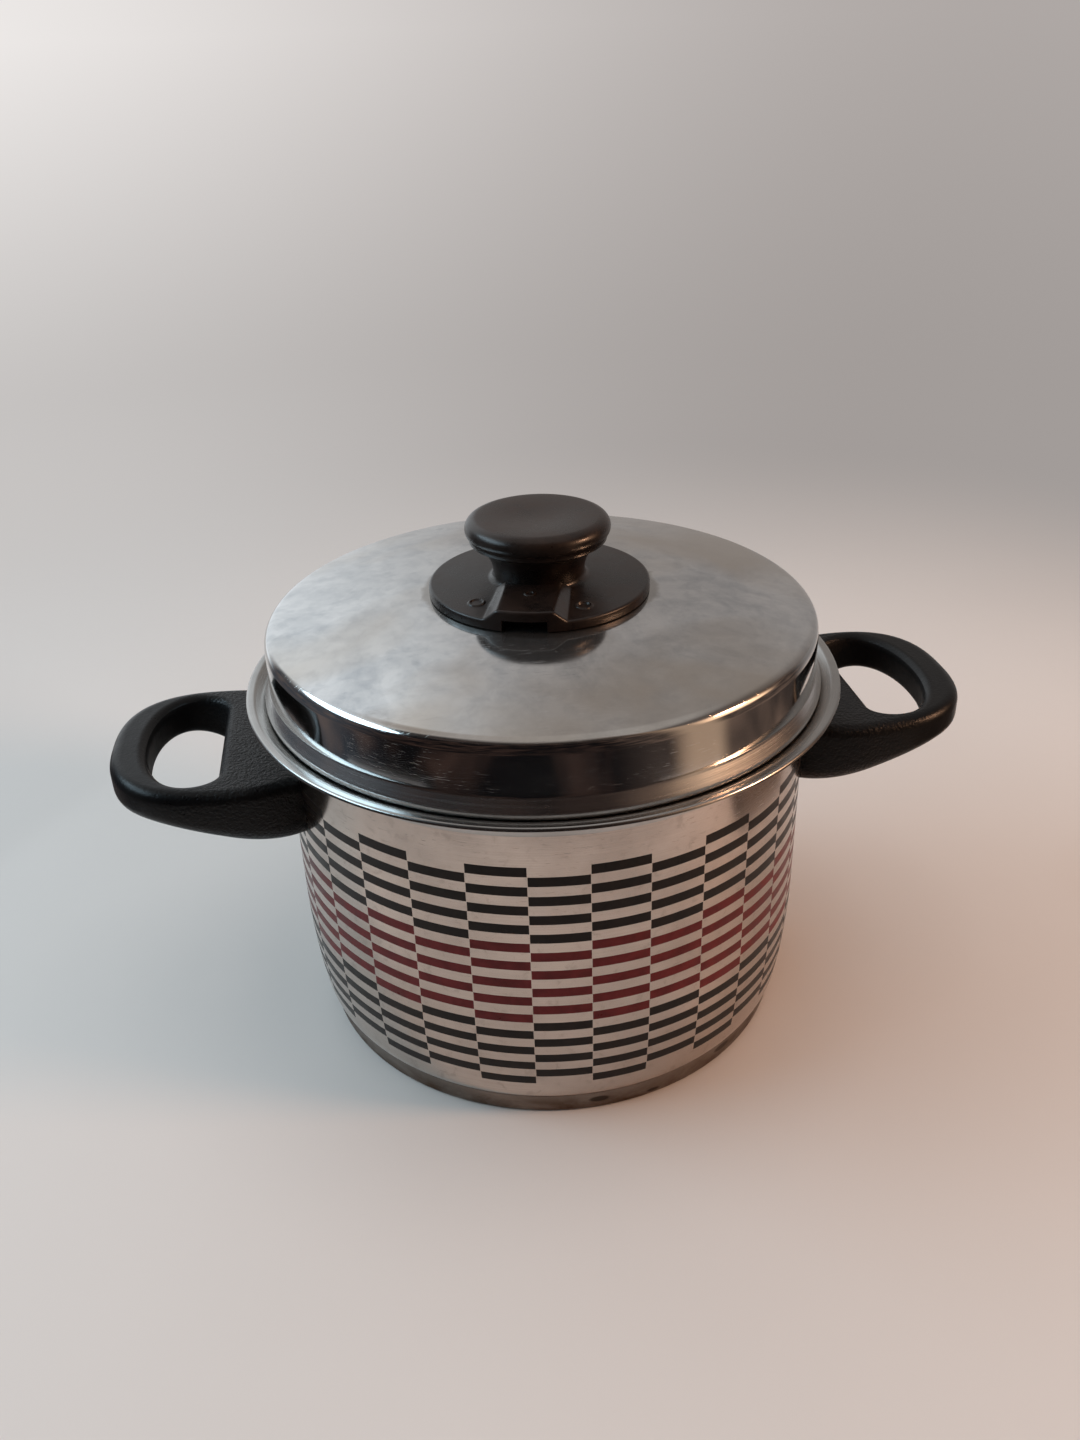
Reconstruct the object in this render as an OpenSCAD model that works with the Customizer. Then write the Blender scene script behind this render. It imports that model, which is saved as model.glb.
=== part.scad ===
// Soup kettle: a deep stainless pot with a bonded heavy base, two loop handles
// and a domed lid that carries a turning steam-vent knob.
// Millimetres, +Z up. The origin is at the middle of the underside and the
// handles point along +X and -X.

/* [Pot] */
// Inside diameter of the straight wall
pot_inner_d = 200; // [180:1:230]
// Thickness of the drawn steel wall
wall_t = 0.8; // [0.6:0.1:1.2]
// Height of the rim above the table
rim_z = 140.8; // [120:0.1:180]
// Outside radius of the corner between wall and floor
corner_r = 10; // [6:0.5:14]
// Height at which the wall starts to draw in towards the floor
draw_in_z = 55; // [45:1:70]
// Radius of the gentle curve below that height
draw_in_r = 292; // [240:1:400]

/* [Pot rim] */
// Radius of the bend where the wall flares out
flare_r = 10; // [7:0.5:12]
// How far the flare leans away from the wall
flare_deg = 60; // [50:1:66]
// Slanted run of the flare past its bend, measured across
flare_run = 4; // [3:0.5:6]
// Bend that levels the flare into the lip
lip_bend_r = 3; // [2:0.5:5]
// Level width of the lip
lip_flat = 1.3; // [0.8:0.1:3]
// Outside radius of the lip's turned-down edge
lip_edge_r = 1.2; // [1:0.1:1.5]

/* [Base] */
// Height from the table to the underside of the pot's floor
base_t = 5; // [3.5:0.1:8]
// Thickness of the steel cap over the aluminium disc
cap_t = 0.5; // [0.4:0.1:1]
// How far the cap's side stays inside the pot's outside wall
cap_inset = 6; // [5.3:0.1:10]
// Rounding of the cap's lower edge
cap_edge_r = 1.5; // [1:0.1:2.5]

/* [Lid] */
// Thickness of the lid's sheet
lid_t = 0.7; // [0.5:0.1:1]
// How far the lid's upright skirt stands out past the pot's inside wall
skirt_out = 3.4; // [2.9:0.1:4]
// Radius of the shoulder between dome and skirt
shoulder_r = 5; // [3:0.5:9]
// Radius of the dome
dome_r = 580; // [420:5:900]
// Height of the dome's middle above the pot's rim
dome_above_rim = 33.8; // [28:0.1:45]
// How far the band at the foot of the skirt stands out past the pot's inside wall
band_out = 5.8; // [5.4:0.1:6.2]
// Height of the step from skirt to band above the band's curl
step_up = 2.2; // [1.5:0.1:4]
// Height over which the skirt steps out to the band
step_h = 2.4; // [1.8:0.1:4]
// Outside radius of the curl under the band
curl_r = 2.5; // [2:0.1:3]
// Clearance between the resting lid and the flare
seat_gap = 0.3; // [0.2:0.05:0.5]
// Radius of the steam vent hole
vent_r = 2.5; // [1.5:0.1:3]
// Distance of the vent hole from the middle
vent_at = 31; // [28:0.5:34]

/* [Knob] */
// Radius of the knob's flange
flange_r = 41.2; // [38:0.1:44]
// Height of the flange's upper edge above the dome's middle
flange_up = 2.4; // [2:0.1:4]
// How much the flange rises from its edge to the neck
flange_cone = 1.2; // [0.5:0.1:2]
// Radius of the neck
neck_r = 17; // [14:0.5:19]
// Radius of the knob's head
head_r = 26.8; // [23:0.1:32]
// Height of the whole knob above the dome's middle
knob_h = 27; // [24:0.5:34]
// Depth of the dish in the top of the head
dish_depth = 1; // [0:0.1:2]
// Height of the raised steam channel above the flange's edge
hump_h = 4.2; // [3:0.1:4.5]
// Width of the channel's flat top
hump_top_w = 20; // [16:0.5:24]
// Width of the channel at its foot
hump_foot_w = 29.5; // [25:0.5:34]
// Width of the steam passage inside it
passage_w = 16; // [10:0.5:18]
// Distance from the middle at which the passage starts
passage_from = 24; // [22:0.5:26]
// Distance of the position marks from the middle
mark_at = 32; // [30:0.5:34]
// Angle between the channel and each position mark
mark_deg = 37; // [34:1:45]
// Outside radius of a position mark
mark_r = 2.9; // [2:0.1:3.2]
// Direction in which the channel points
knob_heading = -106; // [-125:1:-60]
// Gap between the knob's underside and the lid
knob_gap = 0.3; // [0.2:0.05:0.6]

/* [Knob fastening] */
// Radius of the screw that holds the knob
knob_screw_r = 2.5; // [2:0.1:3]
// Running clearance of that screw in the lid
screw_clear = 0.1; // [0.05:0.01:0.1]
// Length of the screw inside the knob
knob_screw_reach = 12; // [8:0.5:14]
// Outside radius of the brass insert
insert_r = 5; // [4.5:0.1:6]
// Depth of the insert in the knob
insert_depth = 14; // [10:0.5:16]
// Height of the spring washer
spring_h = 1.5; // [1:0.1:2.5]
// Thickness of the flat washer under the screw's head
washer_t = 1; // [0.6:0.1:1.6]
// Outside radius of the flat washer
washer_r = 7.5; // [6.5:0.5:9]

/* [Handles] */
// Reach of each handle from the wall to its tip
handle_out = 64.9; // [59.2:0.1:75.2]
// Width of each handle
handle_w = 84.7; // [84:0.1:92]
// Width of each handle where it meets the wall
root_w = 69; // [60:1:76]
// How far the handle's upper face lies below the rim, at the middle of the loop
top_below_rim = 17.9; // [15.8:0.1:19.8]
// Rise of the upper face per millimetre outwards
handle_rise = 0.06; // [0:0.005:0.1]
// How far the handle's underside lies below the rim at the wall
root_below_rim = 46.8; // [43.8:0.5:54.8]
// How far the handle's underside lies below the rim at the tip
tip_below_rim = 30.8; // [29.8:0.5:34.8]
// Width of the loop's bar at the tip
bar_tip = 13.8; // [12:0.1:16]
// Width of the loop's bar at its sides
bar_side = 9.5; // [9.5:0.1:13]
// Distance from the wall to the loop's flat inner wall
loop_out = 23.8; // [22.2:0.1:26.2]
// Rounding of the handle's upper outer edges
edge_r = 4.5; // [3:0.1:4.8]
// Rounding of the handle's lower outer edges round the loop
low_edge_r = 5.2; // [4:0.1:5.4]
// Rounding of the lower edges at the wall
root_edge_r = 9.5; // [8:0.5:12]
// Rounding of the finger hole's upper edges
hole_edge_r = 3; // [2:0.1:3.4]
// Rounding of the finger hole's lower edges
hole_low_edge_r = 3; // [2:0.1:3.2]
// Clearance between the handle's end and the wall
handle_gap = 0.05; // [0.03:0.01:0.3]

/* [Handle fastening] */
// How far the handle screws lie below the rim
screw_below_rim = 28.8; // [26.8:0.5:30.8]
// Radius of the handle screws
screw_r = 2.4; // [2:0.1:2.6]
// Radius of the screws' heads
head_screw_r = 4.4; // [4:0.1:4.8]
// Height of the screws' heads
head_screw_h = 2.8; // [2:0.1:3]
// Thickness of the spring washers under the heads
lock_washer_t = 1.1; // [0.8:0.1:1.4]
// Length of each bracket's nose, from the wall outwards
bracket_nose = 14; // [11:0.5:15]
// Width of the bracket's nose
bracket_w = 18; // [14:0.5:22]
// Height of the bracket
bracket_h = 12; // [10:0.5:13]
// Thickness of the bracket's steel
bracket_t = 1.5; // [1.2:0.1:2]
// Width of the foot that is welded to the wall
bracket_foot_w = 34; // [28:1:44]

/* [Hidden] */
$fn = 96;

// A gap that keeps two pieces of one body from cutting into each other
fit_gap = 0.05;
// How far a cutting shape runs past the face that it opens
past = 1;

steel = "silver";
black_moulding = "#26231f";

pot_r = pot_inner_d / 2;
wall_r = pot_r + wall_t;
cap_r = wall_r - cap_inset;
skirt_r = pot_r + skirt_out;
band_r = pot_r + band_out;
handle_reach = wall_r + handle_out;
loop_from = wall_r + loop_out;
handle_top_z = rim_z - top_below_rim;
root_low_z = rim_z - root_below_rim;
tip_low_z = rim_z - tip_below_rim;
screw_z = rim_z - screw_below_rim;

// ---- curves shared by the sheet-metal pieces ----

// Points on an arc, from angle a0 to a1
function arc(c, r, a0, a1, n) =
    [for (i = [0:n]) let (a = a0 + (a1 - a0) * i / n) [c[0] + r * cos(a), c[1] + r * sin(a)]];
// The same arc without its first point, to carry on from another curve
function arc_on(c, r, a0, a1, n) = [for (i = [1:n]) arc(c, r, a0, a1, n)[i]];
function unit(v) = v / norm(v);
function left_of(v) = [-v[1], v[0]];
// Direction across the path at point i, lengthened so that the offset keeps its distance
function across(p, i) =
    let (n = len(p),
        a = unit(left_of(p[min(i + 1, n - 1)] - p[min(i, n - 2)])),
        b = unit(left_of(p[max(i, 1)] - p[max(i - 1, 0)])),
        m = unit(a + b))
    m / (m * a);
function offset_path(p, d) = [for (i = [0:len(p) - 1]) p[i] + d * across(p, i)];
function reversed(p) = [for (i = [len(p) - 1:-1:0]) p[i]];

// A sheet of thickness t on the left side of a path, turned about the Z axis
module turned_sheet(path, t) {
    rotate_extrude() polygon(concat(path, reversed(offset_path(path, t))));
}

// ---- pot ----

floor_z = base_t + wall_t;
draw_deg = asin((draw_in_z - base_t - corner_r) / (draw_in_r - corner_r));
corner_c = [wall_r - draw_in_r + (draw_in_r - corner_r) * cos(draw_deg), base_t + corner_r];

// The flare is laid out on the pot's inside face
flare_rise = flare_r * sin(flare_deg);
flare_out = flare_r * (1 - cos(flare_deg));
flare_slope = 90 - flare_deg;
lip_rise = lip_bend_r * (1 - cos(flare_slope));
flare_z = rim_z - lip_rise - flare_run * tan(flare_slope) - flare_rise;
flare_c = [pot_r + flare_r, flare_z];
lip_c = [pot_r + flare_out + flare_run + lip_bend_r * sin(flare_slope), rim_z - lip_bend_r];
edge_c = [lip_c[0] + lip_flat, rim_z - lip_edge_r];

// Inside face, from the middle of the floor to the edge of the lip
function pot_path() = concat(
    [[0, floor_z]],
    arc(corner_c, corner_r - wall_t, -90, -draw_deg, 8),
    arc_on([wall_r - draw_in_r, draw_in_z], draw_in_r - wall_t, -draw_deg, 0, 7),
    arc(flare_c, flare_r, 180, 180 - flare_deg, 8),
    arc(lip_c, lip_bend_r, 90 + flare_slope, 90, 3),
    arc(edge_c, lip_edge_r, 90, 0, 4));

module pot_shell() {
    color(steel) turned_sheet(pot_path(), -wall_t);
}

// Outside face of the rounded floor, up to radius r
function under_floor(r) =
    let (a = acos((r - corner_c[0]) / corner_r))
    concat([[0, base_t]], arc(corner_c, corner_r, -90, -a, 6));

module base_core() {
    core_r = cap_r - cap_t - fit_gap;
    color("lightgray") rotate_extrude() difference() {
        polygon(concat([[0, cap_t], [core_r - cap_edge_r, cap_t], [core_r, cap_t + cap_edge_r]],
            reversed(under_floor(core_r))));
        translate([0, base_t - fit_gap]) square([corner_c[0], 2 * fit_gap]);
    }
}

module base_cap() {
    seam = under_floor(cap_r);
    inner = under_floor(cap_r - cap_t);
    top = seam[len(seam) - 1];
    color(steel) rotate_extrude() polygon(concat(
        [[0, 0]],
        arc([cap_r - cap_edge_r, cap_edge_r], cap_edge_r, -90, 0, 5),
        [[cap_r, top[1] - fit_gap], [cap_r - cap_t, inner[len(inner) - 1][1] - fit_gap]],
        arc([cap_r - cap_edge_r, cap_edge_r], cap_edge_r - cap_t, 0, -90, 5),
        [[0, cap_t]]));
}

// ---- lid ----

// The curl's centre is set so that it clears the bend of the flare by seat_gap
curl_x = band_r - curl_r;
curl_c = [curl_x,
    flare_z + sqrt(pow(flare_r + curl_r + seat_gap, 2) - pow(flare_c[0] - curl_x, 2))];
apex_z = rim_z + dome_above_rim;
dome_c = [0, apex_z - dome_r];
shoulder_deg = asin((skirt_r - shoulder_r) / (dome_r - shoulder_r));
shoulder_c = [skirt_r - shoulder_r, dome_c[1] + (dome_r - shoulder_r) * cos(shoulder_deg)];
lid_hole_r = knob_screw_r + screw_clear;
curl_deg = 120;

// Points of a smooth step, from p down to q
function soft_step(p, q, n) =
    [for (i = [0:n]) let (u = i / n, s = (1 - cos(180 * u)) / 2)
        [p[0] + (q[0] - p[0]) * s, p[1] + (q[1] - p[1]) * u]];

// Outside face, from the screw hole to the end of the curl
function lid_path() = concat(
    arc(dome_c, dome_r, 90 - asin(lid_hole_r / dome_r), 90 - shoulder_deg, 10),
    arc_on(shoulder_c, shoulder_r, 90 - shoulder_deg, 0, 8),
    soft_step([skirt_r, curl_c[1] + step_up + step_h], [band_r, curl_c[1] + step_up], 6),
    arc(curl_c, curl_r, 0, -curl_deg, 8));

module lid_shell() {
    color(steel) difference() {
        turned_sheet(lid_path(), -lid_t);
        rotate([0, 0, knob_heading]) translate([vent_at, 0, apex_z - lid_t - 2 * past])
            cylinder(r = vent_r, h = lid_t + 3 * past);
    }
}

// ---- knob ----

flange_z = apex_z + flange_up;
neck_foot_z = flange_z + flange_cone;
neck_fillet = 2.5;
flange_edge_r = 1.1;
head_edge_w = 4.5;
head_edge_h = 4.2;
head_c = [head_r - head_edge_w, apex_z + knob_h - head_edge_h];
// The moulding's parting line lies this far below the widest place, as an angle
parting_deg = 40;
// Step at the parting line: inwards and down
parting_step = [0.4, 1.7];
parting = [head_c[0] + head_edge_w * cos(parting_deg), head_c[1] - head_edge_h * sin(parting_deg)];
under_end = parting - parting_step;
under_deg = 70;
under_a = (under_end[0] - neck_r) / (1 - cos(under_deg));
under_b = (under_end[1] - neck_foot_z - neck_fillet) / sin(under_deg);
knob_low_r = dome_r + knob_gap;
knob_low_z = apex_z + knob_gap;
passage_top = flange_z + 0.4;
passage_low = apex_z - 8;
// How far the flange's underside and the channel's end stay inside the flange's edge
flange_under_in = 0.6;
hump_end_in = 0.4;
// How far a raised detail is sunk into the face that it stands on
sunk = 1;
// Height and line width of the position marks, and the place of the small ring on the channel
mark_up = 0.35;
mark_down = 0.4;
mark_line = 0.6;
hump_mark_at = 25;

function ellipse_arc(c, a, b, a0, a1, n) =
    [for (i = [0:n]) let (t = a0 + (a1 - a0) * i / n) [c[0] + a * cos(t), c[1] + b * sin(t)]];
function flange_top_z(r) =
    flange_z + flange_cone * (flange_r - r) / (flange_r - neck_r - neck_fillet);

function knob_profile() = concat(
    arc(dome_c, knob_low_r, 90, 90 - asin((flange_r - flange_under_in) / knob_low_r), 5),
    arc([flange_r - flange_edge_r, flange_z - flange_edge_r], flange_edge_r, 0, 90, 4),
    arc([neck_r + neck_fillet, neck_foot_z + neck_fillet], neck_fillet, 270, 180, 4),
    ellipse_arc([neck_r + under_a, neck_foot_z + neck_fillet], -under_a, under_b, 8, under_deg, 7),
    ellipse_arc(head_c, head_edge_w, head_edge_h, -parting_deg, 90, 9),
    [for (i = [1:4]) let (u = i / 4)
        [head_c[0] * (1 - u), apex_z + knob_h - dish_depth * (1 - cos(180 * u)) / 2]]);

// The steam channel's hump: a flat-topped ridge from the neck to the flange's edge
module hump() {
    intersection() {
        translate([neck_r - neck_fillet, 0, 0]) rotate([90, 0, 90]) linear_extrude(flange_r)
            polygon([[-hump_foot_w / 2, flange_z - sunk], [-hump_foot_w / 2, flange_z],
                [-hump_top_w / 2, flange_z + hump_h], [hump_top_w / 2, flange_z + hump_h],
                [hump_foot_w / 2, flange_z], [hump_foot_w / 2, flange_z - sunk]]);
        translate([0, 0, flange_z - sunk]) cylinder(r = flange_r - hump_end_in, h = hump_h + 2 * sunk);
    }
}

module steam_passage() {
    translate([passage_from + passage_w / 2, 0, passage_low])
        cylinder(r = passage_w / 2, h = passage_top - passage_low);
    translate([passage_from + passage_w / 2, -passage_w / 2, passage_low])
        cube([flange_r, passage_w, passage_top - passage_low]);
}

module mark_ring(r, z) {
    difference() {
        translate([0, 0, z - sunk]) cylinder(r = r, h = sunk + mark_up);
        translate([0, 0, z - sunk - past]) cylinder(r = r - mark_line, h = sunk + 2 * past);
    }
}

module knob() {
    mark_z = flange_top_z(mark_at);
    color(black_moulding) rotate([0, 0, knob_heading]) difference() {
        union() {
            rotate_extrude() polygon(knob_profile());
            hump();
            rotate([0, 0, -mark_deg]) translate([mark_at, 0, 0]) mark_ring(mark_r, mark_z);
            rotate([0, 0, mark_deg]) translate([mark_at, 0, 0]) mark_ring(mark_r, mark_z);
            translate([hump_mark_at, 0, 0]) mark_ring(mark_r - mark_line, flange_z + hump_h);
        }
        steam_passage();
        rotate([0, 0, mark_deg]) translate([mark_at, 0, mark_z - mark_down])
            cylinder(r = mark_r - mark_line, h = mark_down + past);
        translate([0, 0, knob_low_z - past]) cylinder(r = insert_r, h = past + insert_depth);
    }
}

module knob_insert() {
    color("gold") difference() {
        translate([0, 0, knob_low_z]) cylinder(r = insert_r - fit_gap, h = insert_depth);
        translate([0, 0, knob_low_z - past])
            cylinder(r = knob_screw_r + fit_gap, h = insert_depth + 2 * past);
    }
}

// ---- knob fastening, hung under the middle of the lid ----

under_lid_z = apex_z - lid_t;
spring_top_z = under_lid_z - knob_gap;
washer_top_z = spring_top_z - spring_h;
head_top_z = washer_top_z - washer_t;
knob_head_r = 4.6;
knob_head_h = 3;
cross_w = 1.1;
cross_l = 5.2;
cross_depth = 1.8;
knob_head_round = 1.5;
spring_sheet = 0.5;
spring_hole_r = lid_hole_r + 0.1;

module cross_slot(z) {
    for (a = [0, 90]) rotate([0, 0, a])
        translate([-cross_l / 2, -cross_w / 2, z - past]) cube([cross_l, cross_w, past + cross_depth]);
}

module knob_screw() {
    low = head_top_z - knob_head_h;
    color(steel) difference() {
        union() {
            translate([0, 0, head_top_z])
                cylinder(r = knob_screw_r, h = knob_low_z + knob_screw_reach - head_top_z);
            rotate_extrude() polygon(concat([[0, low]],
                arc([knob_head_r - knob_head_round, low + knob_head_round], knob_head_round, -90, 0, 4),
                [[knob_head_r, head_top_z], [0, head_top_z]]));
        }
        cross_slot(low);
    }
}

module knob_washer() {
    color(steel) translate([0, 0, head_top_z]) difference() {
        cylinder(r = washer_r, h = washer_t);
        translate([0, 0, -past]) cylinder(r = lid_hole_r, h = washer_t + 2 * past);
    }
}

// A cupped spring washer that keeps the knob from turning by itself
module spring_washer() {
    color(steel) translate([0, 0, washer_top_z]) rotate_extrude() polygon([
        [washer_r, 0], [washer_r, spring_sheet],
        [spring_hole_r, spring_h], [spring_hole_r, spring_h - spring_sheet]]);
}

// ---- handles ----

handle_end_r = wall_r + handle_gap;
// Places along the handle: where its height is given, where it is widest and where its hole is widest
rise_from = wall_r + 29.2;
widest_x = wall_r + 21.2;
hole_mid_x = wall_r + 34.2;
// Squareness of the two rounded tips; 2 gives an ellipse
tip_power = 2.6;
hole_power = 2.1;
hole_corner = 8.8;
hole_half_w = handle_w / 2 - bar_side;
root_x = sqrt(pow(handle_end_r, 2) - pow(root_w / 2, 2));
root_bow = (widest_x - root_x) / sqrt(1 - pow(root_w / handle_w, 2));
// The shape starts inside the wall, with a flat end this wide, and is then cut to the wall
end_x = wall_r - 16.8;
end_w = 32;
// Points round each part of an outline: tip, each side and the end at the wall
tip_n = 32;
side_n = 6;
end_n = 18;

function power(v, e) = sign(v) * pow(abs(v), e);
function handle_side(x) = handle_w / 2 * sqrt(1 - pow((widest_x - x) / root_bow, 2));
function side_x(i) = widest_x - (widest_x - end_x) * i / side_n;
// Outer outline of the right-hand handle, anticlockwise from its lower side
handle_outline = concat(
    [for (i = [0:tip_n]) let (t = -90 + 180 * i / tip_n)
        [widest_x + (handle_reach - widest_x) * power(cos(t), 2 / tip_power),
            handle_w / 2 * power(sin(t), 2 / tip_power)]],
    [for (i = [1:side_n]) [side_x(i), handle_side(side_x(i))]],
    [for (i = [1:end_n - 1]) [end_x, end_w / 2 * (1 - 2 * i / end_n)]],
    [for (i = [side_n:-1:1]) [side_x(i), -handle_side(side_x(i))]]);
// Outline of the finger hole, point for point beside the outer outline
hole_tip_x = handle_reach - bar_tip;
hole_flat = hole_half_w - hole_corner;
hole_outline = concat(
    [for (i = [0:tip_n]) let (t = -90 + 180 * i / tip_n)
        [hole_mid_x + (hole_tip_x - hole_mid_x) * power(cos(t), 2 / hole_power),
            hole_half_w * power(sin(t), 2 / hole_power)]],
    [for (i = [1:side_n]) let (t = 90 * i / side_n)
        [hole_mid_x - (hole_mid_x - loop_from) * sin(t), hole_flat + hole_corner * cos(t)]],
    [for (i = [1:end_n - 1]) [loop_from, hole_flat * (1 - 2 * i / end_n)]],
    [for (i = [side_n:-1:1]) let (t = 90 * i / side_n)
        [hole_mid_x - (hole_mid_x - loop_from) * sin(t), -hole_flat - hole_corner * cos(t)]]);
ring_n = len(handle_outline);
// The lower outer rounding narrows between these places along the handle
round_from = wall_r - 2.8;
round_to = wall_r + 43.2;
function ease(x, from, to) =
    let (u = min(1, max(0, (x - from) / (to - from)))) (1 - cos(180 * u)) / 2;
function outer_round(i, at_top) = at_top ? edge_r
    : root_edge_r + (low_edge_r - root_edge_r) * ease(handle_outline[i][0], round_from, round_to);
function inward(p, i) =
    let (d = p[(i + 1) % ring_n] - p[(i + ring_n - 1) % ring_n]) unit(left_of(d));
function top_of(x) = handle_top_z + handle_rise * (x - rise_from);
// The underside rises between these places along the handle
low_from = wall_r - 8.8;
low_to = wall_r + 54.7;
function low_of(x) = root_low_z + (tip_low_z - root_low_z) * ease(x, low_from, low_to);

// One ring of points: outline point i moved inwards by d, at height dz inside the top or bottom face
function ring_point(q, at_top, dz) = [q[0], q[1], at_top ? top_of(q[0]) - dz : low_of(q[0]) + dz];
round_n = 5;
face_n = 4;
function outer_row(k, at_top) = let (a = 90 * k / round_n)
    [for (i = [0:ring_n - 1]) let (r = outer_round(i, at_top), p = handle_outline[i])
        ring_point(p + r * (1 - sin(a)) * inward(handle_outline, i), at_top, r * (1 - cos(a)))];
function hole_row(k, at_top) = let (a = 90 * k / round_n, r = at_top ? hole_edge_r : hole_low_edge_r)
    [for (i = [0:ring_n - 1])
        ring_point(hole_outline[i] - r * (1 - sin(a)) * inward(hole_outline, i), at_top, r * (1 - cos(a)))];
function face_row(k, at_top) = let (u = k / face_n, a = outer_row(0, at_top), b = hole_row(0, at_top))
    [for (i = [0:ring_n - 1]) let (q = a[i] * (1 - u) + b[i] * u) ring_point(q, at_top, 0)];
handle_rows = concat(
    [for (k = [0:round_n]) outer_row(k, false)],
    [for (k = [round_n:-1:0]) outer_row(k, true)],
    [for (k = [1:face_n - 1]) face_row(k, true)],
    [for (k = [0:round_n]) hole_row(k, true)],
    [for (k = [round_n:-1:0]) hole_row(k, false)],
    [for (k = [face_n - 1:-1:1]) face_row(k, false)]);

module handle_body() {
    rows = len(handle_rows);
    difference() {
        polyhedron(
            points = [for (row = handle_rows) each row],
            faces = [for (j = [0:rows - 1], i = [0:ring_n - 1])
                let (a = j * ring_n, b = (j + 1) % rows * ring_n, n = (i + 1) % ring_n)
                each [[a + i, b + i, b + n], [a + i, b + n, a + n]]]);
        translate([0, 0, root_low_z - past])
            cylinder(r = handle_end_r, h = top_of(handle_reach) - root_low_z + 2 * past);
    }
}

nose_end = wall_r + bracket_nose;
pocket_gap = 0.3;
screw_hole_r = screw_r + 0.2;
washer_hole_r = screw_r + 0.1;
screw_bore_r = head_screw_r + 0.3;
// The screw's head sits this far below the loop's inner wall
head_below = 0.4;
head_depth = head_screw_h + lock_washer_t + head_below;
// Length of the screw beyond the bracket's nose
screw_past_nose = 3;
// A place well inside the wall, where cutting shapes start, and their length from there
inside_x = pot_r - 20;
inside_l = 40;

// The moulding of one handle, along +X, with its socket for the bracket and its screw hole
module handle_moulding() {
    socket_w = bracket_w + 2 * pocket_gap;
    socket_h = bracket_h + 2 * pocket_gap;
    foot_w = bracket_foot_w + 2 * pocket_gap;
    color(black_moulding) difference() {
        handle_body();
        translate([inside_x, -socket_w / 2, screw_z - socket_h / 2])
            cube([nose_end - inside_x, socket_w, socket_h]);
        intersection() {
            translate([0, 0, screw_z - socket_h / 2])
                cylinder(r = wall_r + bracket_t + pocket_gap, h = socket_h);
            translate([inside_x, -foot_w / 2, screw_z - socket_h / 2]) cube([inside_l, foot_w, socket_h]);
        }
        translate([nose_end - past, 0, screw_z]) rotate([0, 90, 0])
            cylinder(r = screw_hole_r, h = loop_from - nose_end + 2 * past);
        translate([loop_from - head_depth, 0, screw_z]) rotate([0, 90, 0])
            cylinder(r = screw_bore_r, h = head_depth + past);
    }
}

// A pressed steel stirrup whose foot is spot-welded to the wall
module handle_bracket() {
    side_x0 = wall_r - bracket_t;
    color(steel) difference() {
        union() {
            intersection() {
                difference() {
                    translate([0, 0, screw_z - bracket_h / 2])
                        cylinder(r = wall_r + bracket_t, h = bracket_h);
                    translate([0, 0, screw_z - bracket_h])
                        cylinder(r = wall_r + fit_gap, h = 2 * bracket_h);
                }
                translate([inside_x, -bracket_foot_w / 2, screw_z - bracket_h])
                    cube([inside_l, bracket_foot_w, 2 * bracket_h]);
            }
            difference() {
                translate([side_x0, -bracket_w / 2, screw_z - bracket_h / 2])
                    cube([nose_end - side_x0, bracket_w, bracket_h]);
                translate([side_x0 - past, -bracket_w / 2 + bracket_t, screw_z - bracket_h])
                    cube([nose_end - side_x0 - bracket_t + past, bracket_w - 2 * bracket_t, 2 * bracket_h]);
                translate([0, 0, screw_z - bracket_h]) cylinder(r = wall_r + fit_gap, h = 2 * bracket_h);
            }
        }
        translate([nose_end - 2 * bracket_t, 0, screw_z]) rotate([0, 90, 0])
            cylinder(r = screw_r + fit_gap, h = 3 * bracket_t);
    }
}

head_seat_x = loop_from - head_depth;

module lock_washer() {
    color(steel) translate([head_seat_x, 0, screw_z]) rotate([0, 90, 0]) difference() {
        cylinder(r = head_screw_r, h = lock_washer_t);
        translate([0, 0, -past]) cylinder(r = washer_hole_r, h = lock_washer_t + 2 * past);
    }
}

module handle_screw() {
    under_head = head_seat_x + lock_washer_t;
    reach = under_head - nose_end + bracket_t + screw_past_nose;
    color(steel) translate([under_head, 0, screw_z]) rotate([0, 90, 0]) difference() {
        union() {
            cylinder(r = head_screw_r, h = head_screw_h);
            translate([0, 0, -reach]) cylinder(r = screw_r, h = reach + past);
        }
        for (a = [0, 90]) rotate([0, 0, a])
            translate([-cross_l / 2, -cross_w / 2, head_screw_h - cross_depth])
                cube([cross_l, cross_w, cross_depth + past]);
    }
}

module on_left() {
    rotate([0, 0, 180]) children();
}

pot_shell();
base_core();
base_cap();
on_left() handle_moulding();  // handle_left
handle_moulding();  // handle_right
on_left() handle_bracket();  // bracket_left
handle_bracket();  // bracket_right
on_left() handle_screw();  // handle_screw_left
handle_screw();  // handle_screw_right
on_left() lock_washer();  // lock_washer_left
lock_washer();  // lock_washer_right
lid_shell();
knob();
knob_insert();
knob_screw();
knob_washer();
spring_washer();
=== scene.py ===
import functools
import math

import bmesh
import bpy
from mathutils import Matrix, Vector


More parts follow.
